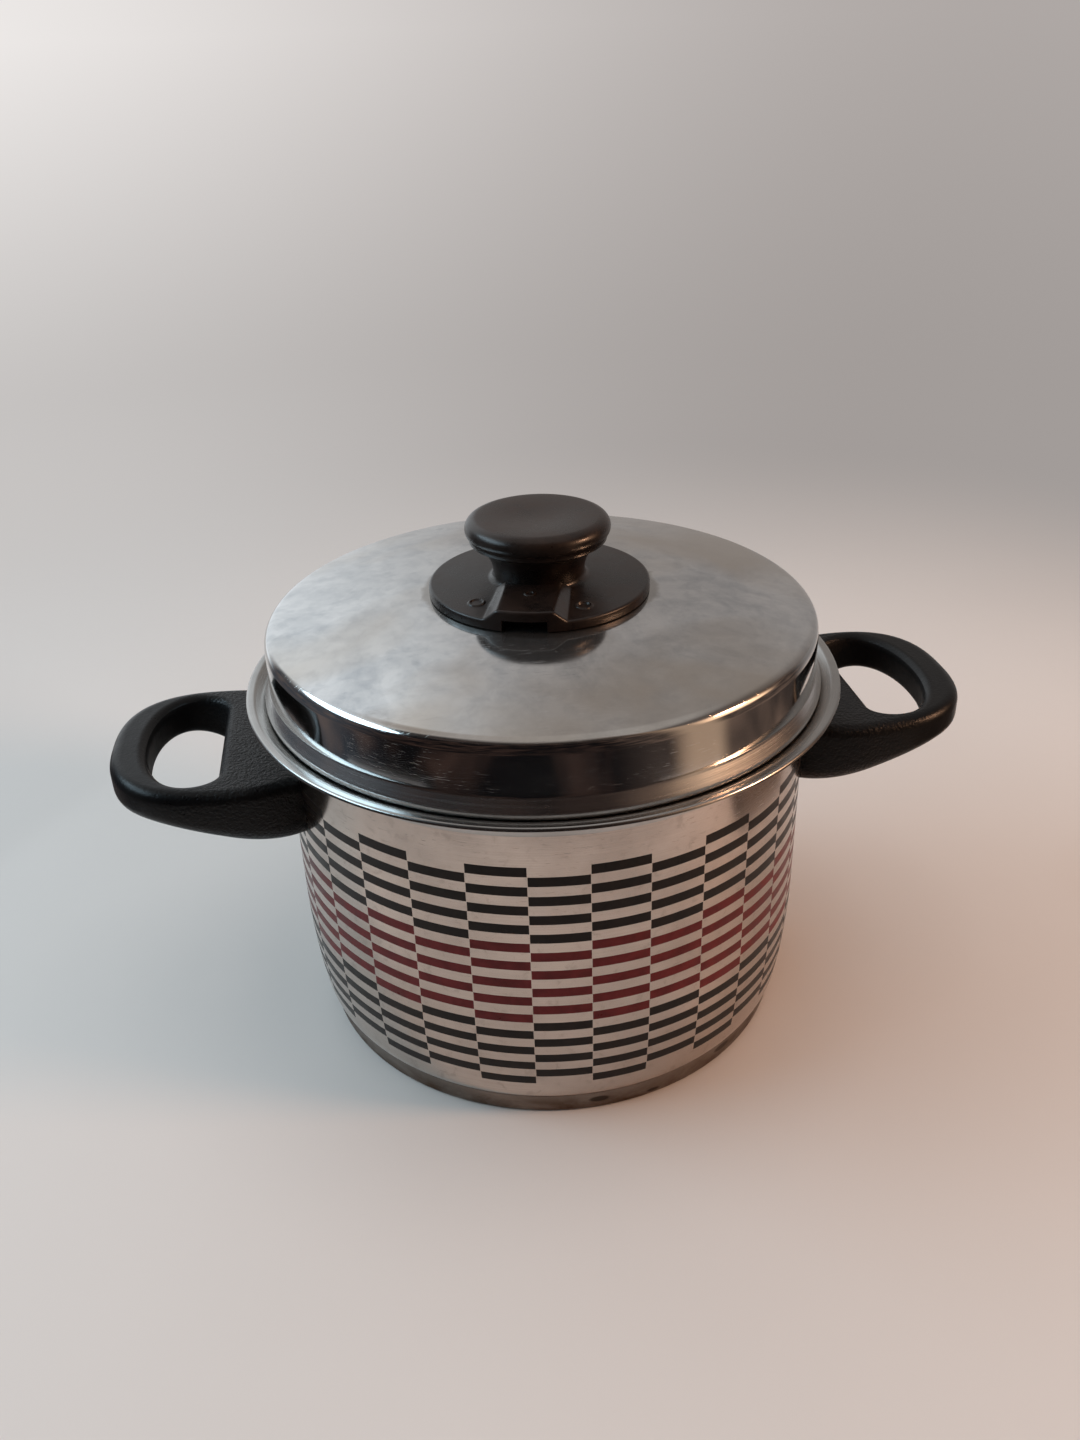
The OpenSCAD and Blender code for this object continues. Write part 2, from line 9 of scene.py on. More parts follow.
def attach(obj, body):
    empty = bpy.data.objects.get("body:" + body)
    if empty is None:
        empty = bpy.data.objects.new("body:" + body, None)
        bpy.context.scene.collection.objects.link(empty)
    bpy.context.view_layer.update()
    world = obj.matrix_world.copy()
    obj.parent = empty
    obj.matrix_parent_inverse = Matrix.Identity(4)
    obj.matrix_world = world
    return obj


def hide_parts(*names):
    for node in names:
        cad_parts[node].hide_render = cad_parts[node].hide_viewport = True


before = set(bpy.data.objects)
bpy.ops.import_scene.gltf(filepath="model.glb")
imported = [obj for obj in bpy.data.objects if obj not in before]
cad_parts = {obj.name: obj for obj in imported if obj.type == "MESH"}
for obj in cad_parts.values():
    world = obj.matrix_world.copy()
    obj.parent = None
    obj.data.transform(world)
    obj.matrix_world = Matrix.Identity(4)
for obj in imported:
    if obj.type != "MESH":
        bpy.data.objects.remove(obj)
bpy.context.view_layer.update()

bl_info = {
    "name": "Stock pot dresser",
    "version": (1, 0, 0),
    "blender": (4, 5, 0),
    "location": "View3D > Sidebar > Stock pot",
    "description": "Dresses the packed stock pot: printed wall, clouded lid, loop handles and vent knob",
    "category": "Object",
}

MM = 0.001
ROUND_STEPS = 360  # sides of a turned piece of steel
CREASE = 38        # degrees over which an edge stays sharp


# ---- sizes and colours ----

def length(label, millimetres, about):
    """A length property, given in millimetres and kept in metres."""
    return bpy.props.FloatProperty(name=label, description=about, default=millimetres * MM,
                                   min=0.0, precision=5, unit="LENGTH", subtype="DISTANCE")


def angle(label, degrees, about):
    """An angle property, given in degrees."""
    return bpy.props.FloatProperty(name=label, description=about, default=math.radians(degrees),
                                   unit="ROTATION", subtype="ANGLE")


def colour(label, value, about):
    """A colour property in linear light."""
    return bpy.props.FloatVectorProperty(name=label, description=about, default=value, size=3,
                                         min=0.0, soft_max=1.0, subtype="COLOR")


def share(label, value, about):
    """A plain number between nought and one."""
    return bpy.props.FloatProperty(name=label, description=about, default=value, min=0.0, max=1.0,
                                   subtype="FACTOR")


class PotSettings(bpy.types.PropertyGroup):
    """Sizes and colours of the pot's body, its print and its base."""
    inner_r: length("Inner radius", 100, "Radius of the wall's inside face")
    wall_t: length("Wall", 0.8, "Thickness of the wall's sheet")
    rim_z: length("Rim height", 140.8, "Height of the lip above the table")
    corner_r: length("Corner", 10, "Outside radius between wall and floor")
    draw_in_z: length("Draw-in height", 55, "Height below which the wall curves inwards")
    draw_in_r: length("Draw-in radius", 292, "Radius of that curve")
    flare_r: length("Flare bend", 10, "Radius of the bend below the rim")
    flare_angle: angle("Flare angle", 60, "Lean of the flare away from the wall")
    flare_run: length("Flare run", 4, "Slanted width of the flare")
    lip_bend_r: length("Lip bend", 3, "Radius of the bend into the lip")
    lip_flat: length("Lip flat", 1.3, "Level width of the lip")
    lip_edge_r: length("Lip edge", 1.2, "Radius of the lip's turned-down edge")
    base_t: length("Base height", 5, "Height of the floor's underside above the table")
    cap_t: length("Cap sheet", 0.5, "Thickness of the base's cap")
    cap_r: length("Cap radius", 94.8, "Outside radius of the base's cap")
    cap_edge_r: length("Cap edge", 1.5, "Rounding of the cap's lower edge")
    print_top: length("Print top", 117.23, "Height of the print's upper edge")
    half_pitch: length("Half pitch", 3.96, "Shift between neighbouring columns of bars")
    bar_h: length("Bar height", 3.8, "Height of one printed bar")
    column_gap: length("Column gap", 0.2, "Clear steel between two columns")
    ink_t: length("Ink", 0.035, "Thickness of the printed layer")
    # The wall steel's warm tint is partly the steel's own colour and partly a painted reflection of the
    # warm floor
    steel: colour("Wall steel", (0.56, 0.48, 0.425), "Colour of the polished wall")
    lip_steel: colour("Lip steel", (0.41, 0.40, 0.385), "Colour of the lip and the flare")
    ink_dark: colour("Dark ink", (0.0078, 0.0046, 0.0032), "Colour of the dark bars")
    ink_red: colour("Red ink", (0.095, 0.008, 0.009), "Colour of the red bars")
    heat_tint: colour("Heat tint", (0.085, 0.048, 0.028), "Colour that heat has left on the base")


class LidSettings(bpy.types.PropertyGroup):
    """Sizes and colours of the lid."""
    sheet_t: length("Sheet", 0.7, "Thickness of the lid's sheet")
    skirt_r: length("Skirt radius", 103.4, "Outside radius of the upright skirt")
    shoulder_r: length("Shoulder", 5, "Radius between dome and skirt")
    dome_r: length("Dome radius", 580, "Radius of the dome")
    dome_up: length("Dome height", 33.8, "Height of the dome's middle above the rim")
    band_r: length("Band radius", 105.8, "Outside radius of the band at the skirt's foot")
    fold_up: length("Fold height", 5.3, "Height of the fold at the band's top above the curl's middle")
    band_lean: angle("Band lean", 27, "Lean of the band from upright")
    curl_r: length("Curl", 2.5, "Outside radius of the curl")
    seat_gap: length("Seat gap", 0.3, "Clearance between the lid and the flare")
    vent_r: length("Vent radius", 2.5, "Radius of the vent hole")
    vent_at: length("Vent place", 31, "Distance of the vent hole from the middle")
    screw_hole_r: length("Screw hole", 2.6, "Radius of the middle hole")
    steel: colour("Lid steel", (0.645, 0.645, 0.64), "Colour of the lid's steel")
    cloud: colour("Clouding", (0.40, 0.415, 0.43), "Colour of the dull clouds on the dome")
    stain: colour("Stain", (0.48, 0.43, 0.375), "Colour of the warm stains on the dome")


class KnobSettings(bpy.types.PropertyGroup):
    """Sizes and colours of the vent knob."""
    flange_r: length("Flange radius", 41.2, "Radius of the flange")
    flange_up: length("Flange height", 2.4, "Height of the flange's edge above the dome's middle")
    flange_cone: length("Flange rise", 1.2, "Rise of the flange from its edge to the neck")
    flange_edge_r: length("Flange edge", 1.1, "Rounding of the flange's upper edge")
    neck_r: length("Neck radius", 17, "Radius of the neck")
    neck_fillet: length("Neck fillet", 2.5, "Rounding at the foot of the neck")
    head_r: length("Head radius", 26.8, "Radius of the head")
    head_edge_w: length("Head edge width", 4.5, "Width of the head's rounded edge")
    head_edge_h: length("Head edge height", 4.2, "Height of the head's rounded edge")
    height: length("Height", 27, "Height of the knob above the dome's middle")
    dish: length("Dish", 1, "Depth of the dish in the head")
    hump_h: length("Channel height", 4.2, "Height of the steam channel above the flange's edge")
    hump_top_w: length("Channel top", 20, "Width of the channel's flat top")
    hump_foot_w: length("Channel foot", 29.5, "Width of the channel at its foot")
    passage_w: length("Passage width", 16, "Width of the steam passage")
    passage_from: length("Passage start", 24, "Distance of the passage's inner end from the middle")
    mark_at: length("Mark place", 32, "Distance of the two position marks from the middle")
    mark_r: length("Mark radius", 3.15, "Outside radius of a position mark")
    mark_turn: angle("Mark angle", 37, "Angle between the channel and each mark")
    heading: angle("Heading", -106, "Direction in which the channel points")
    gap: length("Gap", 0.3, "Gap between the knob and the lid")
    insert_r: length("Insert hole", 5, "Radius of the hole for the brass insert")
    insert_depth: length("Insert depth", 14, "Depth of that hole")
    body: colour("Moulding", (0.0075, 0.0055, 0.005), "Colour of the fresh moulding")
    worn: colour("Worn moulding", (0.034, 0.020, 0.014), "Colour where heat and hands have worn it")


class HandleSettings(bpy.types.PropertyGroup):
    """Sizes and colours of the two loop handles."""
    reach: length("Reach", 165.7, "Distance from the pot's axis to the handle's tip")
    width: length("Width", 84.7, "Greatest width of the handle")
    root_w: length("Root width", 69, "Width of the handle at the wall")
    top_z: length("Top height", 122.9, "Height of the upper face at the middle of the loop")
    rise: share("Rise", 0.06, "Rise of the upper face outwards")
    root_low_z: length("Root underside", 94, "Height of the underside at the wall")
    tip_low_z: length("Tip underside", 110, "Height of the underside at the tip")
    bar_tip: length("Bar at tip", 13.8, "Width of the loop's bar at the tip")
    bar_side: length("Bar at sides", 9.5, "Width of the loop's bar at its sides")
    loop_from: length("Loop start", 124.6, "Distance from the axis to the loop's flat inner wall")
    edge_r: length("Upper edge", 4.5, "Rounding of the upper outer edges")
    low_edge_r: length("Lower edge", 5.2, "Rounding of the lower outer edges round the loop")
    root_edge_r: length("Root edge", 9.5, "Rounding of the lower edges at the wall")
    hole_edge_r: length("Hole edge", 3.9, "Rounding of the finger hole's edges")
    end_r: length("End radius", 100.85, "Radius of the end that meets the wall")
    bore_z: length("Bore height", 112, "Height of the screw's bore")
    bore_r: length("Bore radius", 4.7, "Radius of the bore for the screw's head")
    bore_depth: length("Bore depth", 4.3, "Depth of the bore for the screw's head")
    moulding: colour("Moulding", (0.0027, 0.0028, 0.0033), "Colour of the black moulding")
    rubbed: colour("Rubbed moulding", (0.0065, 0.0062, 0.006), "Colour where the moulding is rubbed")


class StudioSettings(bpy.types.PropertyGroup):
    """Floor, light and colours of the studio."""
    floor: colour("Floor", (0.70, 0.675, 0.65), "Colour of the floor")
    # The backdrop's two tones are painted light: bright on the left, dim on the right
    backdrop_painted_light: colour("Backdrop, left", (0.91, 0.88, 0.865), "Colour of the backdrop on its bright side")
    backdrop_painted_shade: colour("Backdrop, right", (0.425, 0.39, 0.375), "Colour of the backdrop on its dim side")
    floor_r: length("Floor radius", 1100, "Radius at which the floor turns up into the backdrop")
    cove_bend: length("Cove bend", 500, "Radius of the bend between floor and backdrop")
    cove_h: length("Cove height", 1600, "Height of the backdrop")
    sky_bright: colour("Bright sky", (0.99, 1.045, 1.09), "Light from the left and the back")
    sky_dim: colour("Dim sky", (0.375, 0.348, 0.333), "Light from the right and the back")
    sky_front: colour("Front sky", (0.13, 0.115, 0.11), "Light from the front")
    sky_top: colour("Top sky", (0.50, 0.475, 0.46), "Light from straight above")
    card_near: length("Card distance", 328, "Distance from the pot's axis to the dark card's edge")
    card_far: length("Card depth", 1300, "Distance from the pot's axis to the dark card's upright part")
    card_tall: length("Card height", 1200, "Height of the dark card")
    lens: bpy.props.FloatProperty(name="Lens", description="Focal length of the camera", default=30.853,
                                  unit="CAMERA")
    camera_place: bpy.props.FloatVectorProperty(name="Camera place", description="Where the camera stands",
                                                default=(-0.05893, -0.42403, 0.35571), size=3,
                                                precision=5, unit="LENGTH", subtype="TRANSLATION")
    camera_heading: angle("Camera heading", 7.706, "Turn of the camera to the right of straight back")
    camera_pitch: angle("Camera pitch", 29.244, "Lean of the camera below level")
    camera_roll: angle("Camera roll", -1.974, "Turn of the camera about its own line of sight")


# ---- curves ----

def ellipse_arc(centre, a, b, start, end, n, skip_first=False):
    """Points on an arc of an ellipse, angles in degrees."""
    turns = [math.radians(start + (end - start) * i / n) for i in range(1 if skip_first else 0, n + 1)]
    return [(centre[0] + a * math.cos(t), centre[1] + b * math.sin(t)) for t in turns]


def arc(centre, r, start, end, n, skip_first=False):
    """Points on an arc of a circle, angles in degrees."""
    return ellipse_arc(centre, r, r, start, end, n, skip_first)


def between(a, b, u):
    """The point a share of the way from one to the other."""
    return tuple(p + (q - p) * u for p, q in zip(a, b))


def ease(x, start, end):
    """Nought before start, one after end, and a smooth step between."""
    u = min(1.0, max(0.0, (x - start) / (end - start)))
    return (1 - math.cos(math.pi * u)) / 2


def soft_max(a, b, k):
    """The larger of two heights, with a fillet of about k between them."""
    return (a + b + math.sqrt((a - b) ** 2 + k * k)) / 2


def power(v, e):
    """Signed power, for superellipses."""
    return math.copysign(abs(v) ** e, v)


def unit(x, y):
    """The direction of a plane vector."""
    size = math.hypot(x, y)
    return x / size, y / size


def left_of(path):
    """For each inner point of a path, the direction to its left as its two neighbours give it."""
    ways = [unit(b[0] - a[0], b[1] - a[1]) for a, b in zip(path, path[2:])]
    return [(-dy, dx) for dx, dy in ways]


def offset_path(path, d):
    """The path moved d to its left, keeping its distance at the corners."""
    moved, last = [], len(path) - 1
    for i, point in enumerate(path):
        here, after = path[min(i, last - 1)], path[min(i + 1, last)]
        before, now = path[max(i - 1, 0)], path[max(i, 1)]
        ax, ay = unit(-(after[1] - here[1]), after[0] - here[0])
        bx, by = unit(-(now[1] - before[1]), now[0] - before[0])
        mx, my = unit(ax + bx, ay + by)
        k = d / (mx * ax + my * ay)
        moved.append((point[0] + k * mx, point[1] + k * my))
    return moved


def split_long(path, step):
    """The path with extra points on its long straight runs."""
    out = [path[0]]
    for a, b in zip(path, path[1:]):
        n = max(1, math.ceil(math.dist(a, b) / step))
        out += [between(a, b, i / n) for i in range(1, n + 1)]
    return out


# ---- meshes ----

def loop_faces(rings):
    """Quads between neighbouring rings of points; each ring is closed, and the last meets the first."""
    rows, columns = len(rings), len(rings[0])
    faces = []
    for j in range(rows):
        a, b = j * columns, (j + 1) % rows * columns
        faces += [(a + i, b + i, b + (i + 1) % columns, a + (i + 1) % columns) for i in range(columns)]
    return faces


def slab_faces(first, wide, high):
    """Faces of a thin slab: a grid of points, the same grid underneath, and the border between them."""
    under = first + wide * high
    faces = []
    for a in (j * wide + i for j in range(high - 1) for i in range(wide - 1)):
        faces.append((first + a, first + a + wide, first + a + wide + 1, first + a + 1))
        faces.append((under + a, under + a + 1, under + a + wide + 1, under + a + wide))
    border = list(range(wide)) + [j * wide + wide - 1 for j in range(1, high)]
    border += [(high - 1) * wide + i for i in range(wide - 2, -1, -1)]
    border += [j * wide for j in range(high - 2, 0, -1)]
    faces += [(first + a, first + b, under + b, under + a) for a, b in zip(border, border[1:] + border[:1])]
    return faces


def placed(name, data):
    """A new object of the scene."""
    piece = bpy.data.objects.new(name, data)
    bpy.context.scene.collection.objects.link(piece)
    return piece


def finish_mesh(name, points, faces, finishes, pick=None, crease=CREASE, tidy=True):
    """An object from points and faces: turned outwards, smooth, each face with the finish picked for it."""
    mesh = bpy.data.meshes.new(name)
    mesh.from_pydata(points, [], faces)
    work = bmesh.new()
    work.from_mesh(mesh)
    if tidy:
        bmesh.ops.remove_doubles(work, verts=work.verts, dist=1e-6)
        bmesh.ops.dissolve_degenerate(work, edges=work.edges, dist=1e-7)
    bmesh.ops.recalc_face_normals(work, faces=work.faces)
    work.to_mesh(mesh)
    work.free()
    for finish in finishes:
        mesh.materials.append(finish)
    if pick:
        for face in mesh.polygons:
            face.material_index = pick(face)
    piece = placed(name, mesh)
    smooth(piece, crease)
    return piece


def smooth(piece, crease=CREASE):
    """Shades a piece smooth, and keeps edges over the given angle sharp."""
    piece.data.polygons.foreach_set("use_smooth", [True] * len(piece.data.polygons))
    piece.data.set_sharp_from_angle(angle=math.radians(crease))
    piece.data.update()


def turned(name, profile, finishes, pick=None, steps=ROUND_STEPS):
    """A solid turned about the Z axis from a closed profile of (radius, height) points."""
    turns = [2 * math.pi * i / steps for i in range(steps)]
    points, faces, rings = [], [], []
    for r, z in profile:
        first = len(points)
        if r < 1e-7:
            rings.append([first])
            points.append((0.0, 0.0, z))
        else:
            rings.append(list(range(first, first + steps)))
            points += [(r * math.cos(t), r * math.sin(t), z) for t in turns]
    for a, b in zip(rings, rings[1:] + rings[:1]):
        if len(a) == 1 and len(b) == 1:
            continue
        for i in range(steps):
            k = (i + 1) % steps
            if len(a) == 1:
                faces.append((a[0], b[i], b[k]))
            elif len(b) == 1:
                faces.append((a[i], b[0], a[k]))
            else:
                faces.append((a[i], b[i], b[k], a[k]))
    return finish_mesh(name, points, faces, finishes, pick)


def cut(piece, cutter):
    """Cuts one piece out of another for good."""
    cutting = piece.modifiers.new("Cut", "BOOLEAN")
    cutting.operation = "DIFFERENCE"
    cutting.solver = "EXACT"
    cutting.object = cutter
    bpy.context.view_layer.update()
    result = bpy.data.meshes.new_from_object(piece.evaluated_get(bpy.context.evaluated_depsgraph_get()))
    piece.modifiers.clear()
    old = piece.data
    piece.data = result
    result.name = piece.name
    bpy.data.meshes.remove(old)
    bpy.data.objects.remove(cutter, do_unlink=True)
    smooth(piece)


def plug(r, depth, place, direction):
    """A round cutting shape from a place, along a direction."""
    work = bmesh.new()
    bmesh.ops.create_cone(work, cap_ends=True, segments=64, radius1=r, radius2=r, depth=depth)
    turn = Vector(direction).to_track_quat("Z", "Y").to_matrix().to_4x4()
    middle = Vector(place) + Vector(direction).normalized() * depth / 2
    bmesh.ops.transform(work, matrix=Matrix.Translation(middle) @ turn, verts=work.verts)
    mesh = bpy.data.meshes.new("cutter")
    work.to_mesh(mesh)
    work.free()
    return placed("cutter", mesh)


# ---- finishes ----

class Nodes:
    """Short calls for the nodes of one tree."""

    def __init__(self, tree, coordinates):
        self.tree = tree
        self.place = self.add("ShaderNodeTexCoord").outputs[coordinates]

    def add(self, kind, **settings):
        """A new node with some of its settings."""
        node = self.tree.nodes.new(kind)
        for key, value in settings.items():
            setattr(node, key, value)
        return node

    def feed(self, socket, value):
        """Links a socket to an output, or sets it to a plain value."""
        if isinstance(value, bpy.types.NodeSocket):
            self.tree.links.new(value, socket)
        else:
            socket.default_value = value

    def sum(self, operation, a, b=0.0):
        """One sum with one or two values."""
        node = self.add("ShaderNodeMath", operation=operation)
        self.feed(node.inputs[0], a)
        self.feed(node.inputs[1], b)
        return node.outputs[0]

    def plus(self, *values):
        return functools.reduce(lambda a, b: self.sum("ADD", a, b), values)

    def minus(self, a, b):
        return self.sum("SUBTRACT", a, b)

    def times(self, a, b):
        return self.sum("MULTIPLY", a, b)

    def span(self, x, y):
        """Length of a plane vector, such as the distance from the axis."""
        return self.sum("SQRT", self.plus(self.times(x, x), self.times(y, y)))

    def parts(self):
        """The place's x, y and z."""
        node = self.add("ShaderNodeSeparateXYZ")
        self.feed(node.inputs[0], self.place)
        return node.outputs

    def joined(self, x, y):
        """A plane vector from two values."""
        node = self.add("ShaderNodeCombineXYZ")
        self.feed(node.inputs[0], x)
        self.feed(node.inputs[1], y)
        return node.outputs[0]

    def moved(self, vector, scale=(1, 1, 1), turn=(0, 0, 0)):
        """A place that is stretched, and turned in degrees."""
        node = self.add("ShaderNodeMapping")
        self.feed(node.inputs["Vector"], vector)
        node.inputs["Scale"].default_value = scale
        node.inputs["Rotation"].default_value = [math.radians(a) for a in turn]
        return node.outputs[0]

    def noise(self, scale, detail=3.0, rough=0.5, vector=None, twist=0.0):
        """Cloudy noise; twist bends its shapes."""
        node = self.add("ShaderNodeTexNoise")
        self.feed(node.inputs["Vector"], vector or self.place)
        node.inputs["Scale"].default_value = scale
        node.inputs["Detail"].default_value = detail
        node.inputs["Roughness"].default_value = rough
        node.inputs["Distortion"].default_value = twist
        return node.outputs[0]

    def spread(self, value, low, high, to_low=0.0, to_high=1.0, soft=False):
        """A value carried from one range to another and held at its ends."""
        node = self.add("ShaderNodeMapRange", interpolation_type="SMOOTHSTEP" if soft else "LINEAR")
        self.feed(node.inputs["Value"], value)
        ranges = {"From Min": low, "From Max": high, "To Min": to_low, "To Max": to_high}
        for socket, number in ranges.items():
            node.inputs[socket].default_value = number
        return node.outputs[0]

    def blend(self, share_of_b, a, b):
        """A mix of two colours; the colour sockets of the mix node are its seventh and eighth."""
        node = self.add("ShaderNodeMix", data_type="RGBA")
        self.feed(node.inputs[0], share_of_b)
        for socket, tone in ((node.inputs[6], a), (node.inputs[7], b)):
            self.feed(socket, tone if isinstance(tone, bpy.types.NodeSocket) else (*tone, 1))
        return node.outputs[2]

    def band(self, value, start, full, fade, end, soft=True):
        """One from full to fade, and nought before start and after end."""
        rise = self.spread(value, start, full, soft=soft)
        return self.times(rise, self.spread(value, end, fade, soft=soft))

    def swing(self, way, start, end):
        """Nought before one heading and one after the other, in degrees."""
        return self.spread(way, math.radians(start), math.radians(end), soft=True)

    def around(self, use_height=True):
        """Place on a turned face: way round the axis, and height or distance from the axis."""
        x, y, z = self.parts()
        way = self.times(self.sum("ARCTAN2", y, x), 0.1)
        return self.joined(way, z if use_height else self.span(x, y))

    def lines(self, way, along, across, detail=3, rough=0.6):
        """Fine lines left by turning or polishing: long round the axis and thin across it."""
        return self.noise(1, detail, rough, self.moved(way, (along, across, 1)))

    def scratches(self, vector, *sets):
        """Sparse fine scratches, in sets of a turn, a scale, a stretch and a rarity."""
        marks = None
        for turn, scale, stretch, rarity in sets:
            lines = self.noise(scale, 2.0, 0.6, self.moved(vector, (1, stretch, 1), (0, 0, turn)), 0.3)
            lines = self.spread(lines, rarity, rarity + 0.02)
            marks = lines if marks is None else self.sum("MAXIMUM", marks, lines)
        return marks

    def bump(self, height, distance, strength=1.0, over=None):
        """A normal from a height, over another normal if one is given."""
        node = self.add("ShaderNodeBump")
        self.feed(node.inputs["Height"], height)
        node.inputs["Distance"].default_value = distance
        node.inputs["Strength"].default_value = strength
        if over:
            self.feed(node.inputs["Normal"], over)
        return node.outputs[0]

    def one(self, kind):
        """The tree's only node of a kind."""
        return next(n for n in self.tree.nodes if n.type == kind)


class Finish(Nodes):
    """One procedural material."""

    def __init__(self, name, **constants):
        self.material = bpy.data.materials.new(name)
        self.material.use_nodes = True
        super().__init__(self.material.node_tree, "Object")
        self.shader = self.one("BSDF_PRINCIPLED")
        for socket, value in constants.items():
            self.shader.inputs[socket.replace("_", " ").title().replace("Ior", "IOR")].default_value = value

    def set(self, colour, roughness, normal):
        """Feeds the shader and gives the material."""
        for socket, value in (("Base Color", colour), ("Roughness", roughness), ("Normal", normal)):
            self.feed(self.shader.inputs[socket], value)
        return self.material


def darker(value, k):
    """A colour at a share of its strength."""
    return tuple(k * c for c in value)


def wall_steel(steel):
    """Polished sheet: faint lines round the wall, soft clouds and fine scratches."""
    f = Finish("wall_steel", metallic=1.0)
    way = f.around()
    clouds = f.noise(26, 5, 0.6)
    lines = f.lines(way, 18, 2600, 4, 0.65)
    marks = f.scratches(way, (8, 160, 26, 0.70), (-14, 120, 30, 0.71), (96, 90, 26, 0.72))
    specks = f.noise(210, 4, 0.6, twist=0.5)
    # The steel colour passed in holds a painted warm reflection of the floor as well as the steel's own
    # tint
    tone = f.blend(f.spread(clouds, 0.35, 0.72), darker(steel, 1.06), darker(steel, 0.78))
    tone = f.blend(f.spread(lines, 0.4, 0.7, 0.0, 0.5), tone, darker(steel, 0.8))
    tone = f.blend(f.spread(specks, 0.58, 0.68, 0.0, 0.45), tone, darker(steel, 0.62))
    tone = f.blend(f.times(marks, 0.35), tone, darker(steel, 0.6))
    gloss = f.plus(f.spread(clouds, 0.3, 0.8, 0.10, 0.19), f.spread(lines, 0.3, 0.7, 0.0, 0.06),
                   f.times(marks, 0.12))
    height = f.minus(f.times(lines, 0.35), f.times(marks, 0.5))
    waves = f.noise(22, 2, 0.4)
    return f.set(tone, gloss, f.bump(height, 0.03 * MM, 0.55, f.bump(waves, 0.6 * MM, 0.25)))


def rim_steel(name, steel):
    """Bright polished lip and flare."""
    f = Finish(name, metallic=1.0)
    lines = f.lines(f.around(False), 14, 3200)
    clouds = f.noise(34, 4, 0.6)
    tone = f.blend(f.spread(clouds, 0.35, 0.7), darker(steel, 1.08), darker(steel, 0.86))
    gloss = f.plus(f.spread(clouds, 0.3, 0.7, 0.15, 0.23), f.spread(lines, 0.3, 0.7, 0.0, 0.08))
    return f.set(tone, gloss, f.bump(lines, 0.04 * MM, 0.6))


def inside_steel(name, steel):
    """Used inside of pot or lid: satin, with turned rings and, in the pot, a faint water line."""
    f = Finish(name, metallic=1.0)
    x, y, z = f.parts()
    rings = f.lines(f.around(False), 6, 1600)
    clouds = f.noise(30, 5, 0.65)
    tide = f.band(z, 83 * MM, 88 * MM, 89 * MM, 94 * MM)
    tone = f.blend(f.spread(clouds, 0.3, 0.75), steel, darker(steel, 0.78))
    tone = f.blend(f.times(tide, 0.25), tone, darker(steel, 0.55))
    gloss = f.plus(f.spread(clouds, 0.3, 0.75, 0.24, 0.36), f.spread(rings, 0.3, 0.7, 0.0, 0.08))
    return f.set(tone, gloss, f.bump(rings, 0.03 * MM, 0.5))


def ink(name, tint):
    """Baked printing ink: slightly worn, with a soft gloss."""
    f = Finish(name, specular_ior_level=0.17)
    wear = f.noise(150, 4, 0.6)
    marks = f.scratches(f.around(), (10, 150, 26, 0.70))
    tone = f.blend(f.spread(wear, 0.35, 0.75), tint, tuple(1.7 * c + 0.004 for c in tint))
    tone = f.blend(f.times(marks, 0.25), tone, tuple(2.4 * c + 0.02 for c in tint))
    return f.set(tone, f.spread(wear, 0.3, 0.7, 0.27, 0.42), f.bump(f.noise(900, 2), 0.02 * MM, 0.3))


# Burnt spots on the base: heading in degrees, then height, half width and half height in millimetres
BURNT_SPOTS = ((-88.0, 4.6, 4.4, 1.5), (-54.0, 4.9, 5.2, 1.4), (-75.0, 2.4, 3.0, 0.8))


def base_steel(steel, tint, cap_r):
    """Cap of the base: dimmed steel, browned by heat, with a few burnt spots."""
    f = Finish("base_steel", metallic=1.0)
    x, y, z = f.parts()
    out = f.span(x, y)
    clouds = f.noise(45, 5, 0.65, f.moved(f.place, (1, 1, 2.5)), 0.4)
    low = f.spread(z, 9.5 * MM, 1 * MM, soft=True)
    brown = f.times(f.plus(f.times(low, 0.65), 0.35), f.spread(clouds, 0.32, 0.62, 0.25, 1.0))
    tone = f.blend(brown, darker(steel, 0.5), tint)
    for heading, height, wide, high in BURNT_SPOTS:
        off = f.times(f.minus(f.sum("ARCTAN2", y, x), math.radians(heading)), cap_r / (wide * MM))
        up = f.sum("DIVIDE", f.minus(z, height * MM), high * MM)
        spot = f.spread(f.plus(f.span(off, up), f.times(clouds, 0.5)), 1.25, 0.95, 0.0, 0.85)
        tone = f.blend(spot, tone, (0.035, 0.026, 0.02))
    way = f.times(f.sum("ARCTAN2", y, f.sum("ABSOLUTE", x)), 2.0)
    lines = f.noise(1, 3, 0.6, f.joined(way, f.times(f.plus(out, z), 2400.0)))
    gloss = f.plus(f.spread(brown, 0.0, 1.0, 0.2, 0.42), f.spread(lines, 0.3, 0.7, 0.0, 0.08))
    return f.set(tone, gloss, f.bump(lines, 0.03 * MM, 0.5))


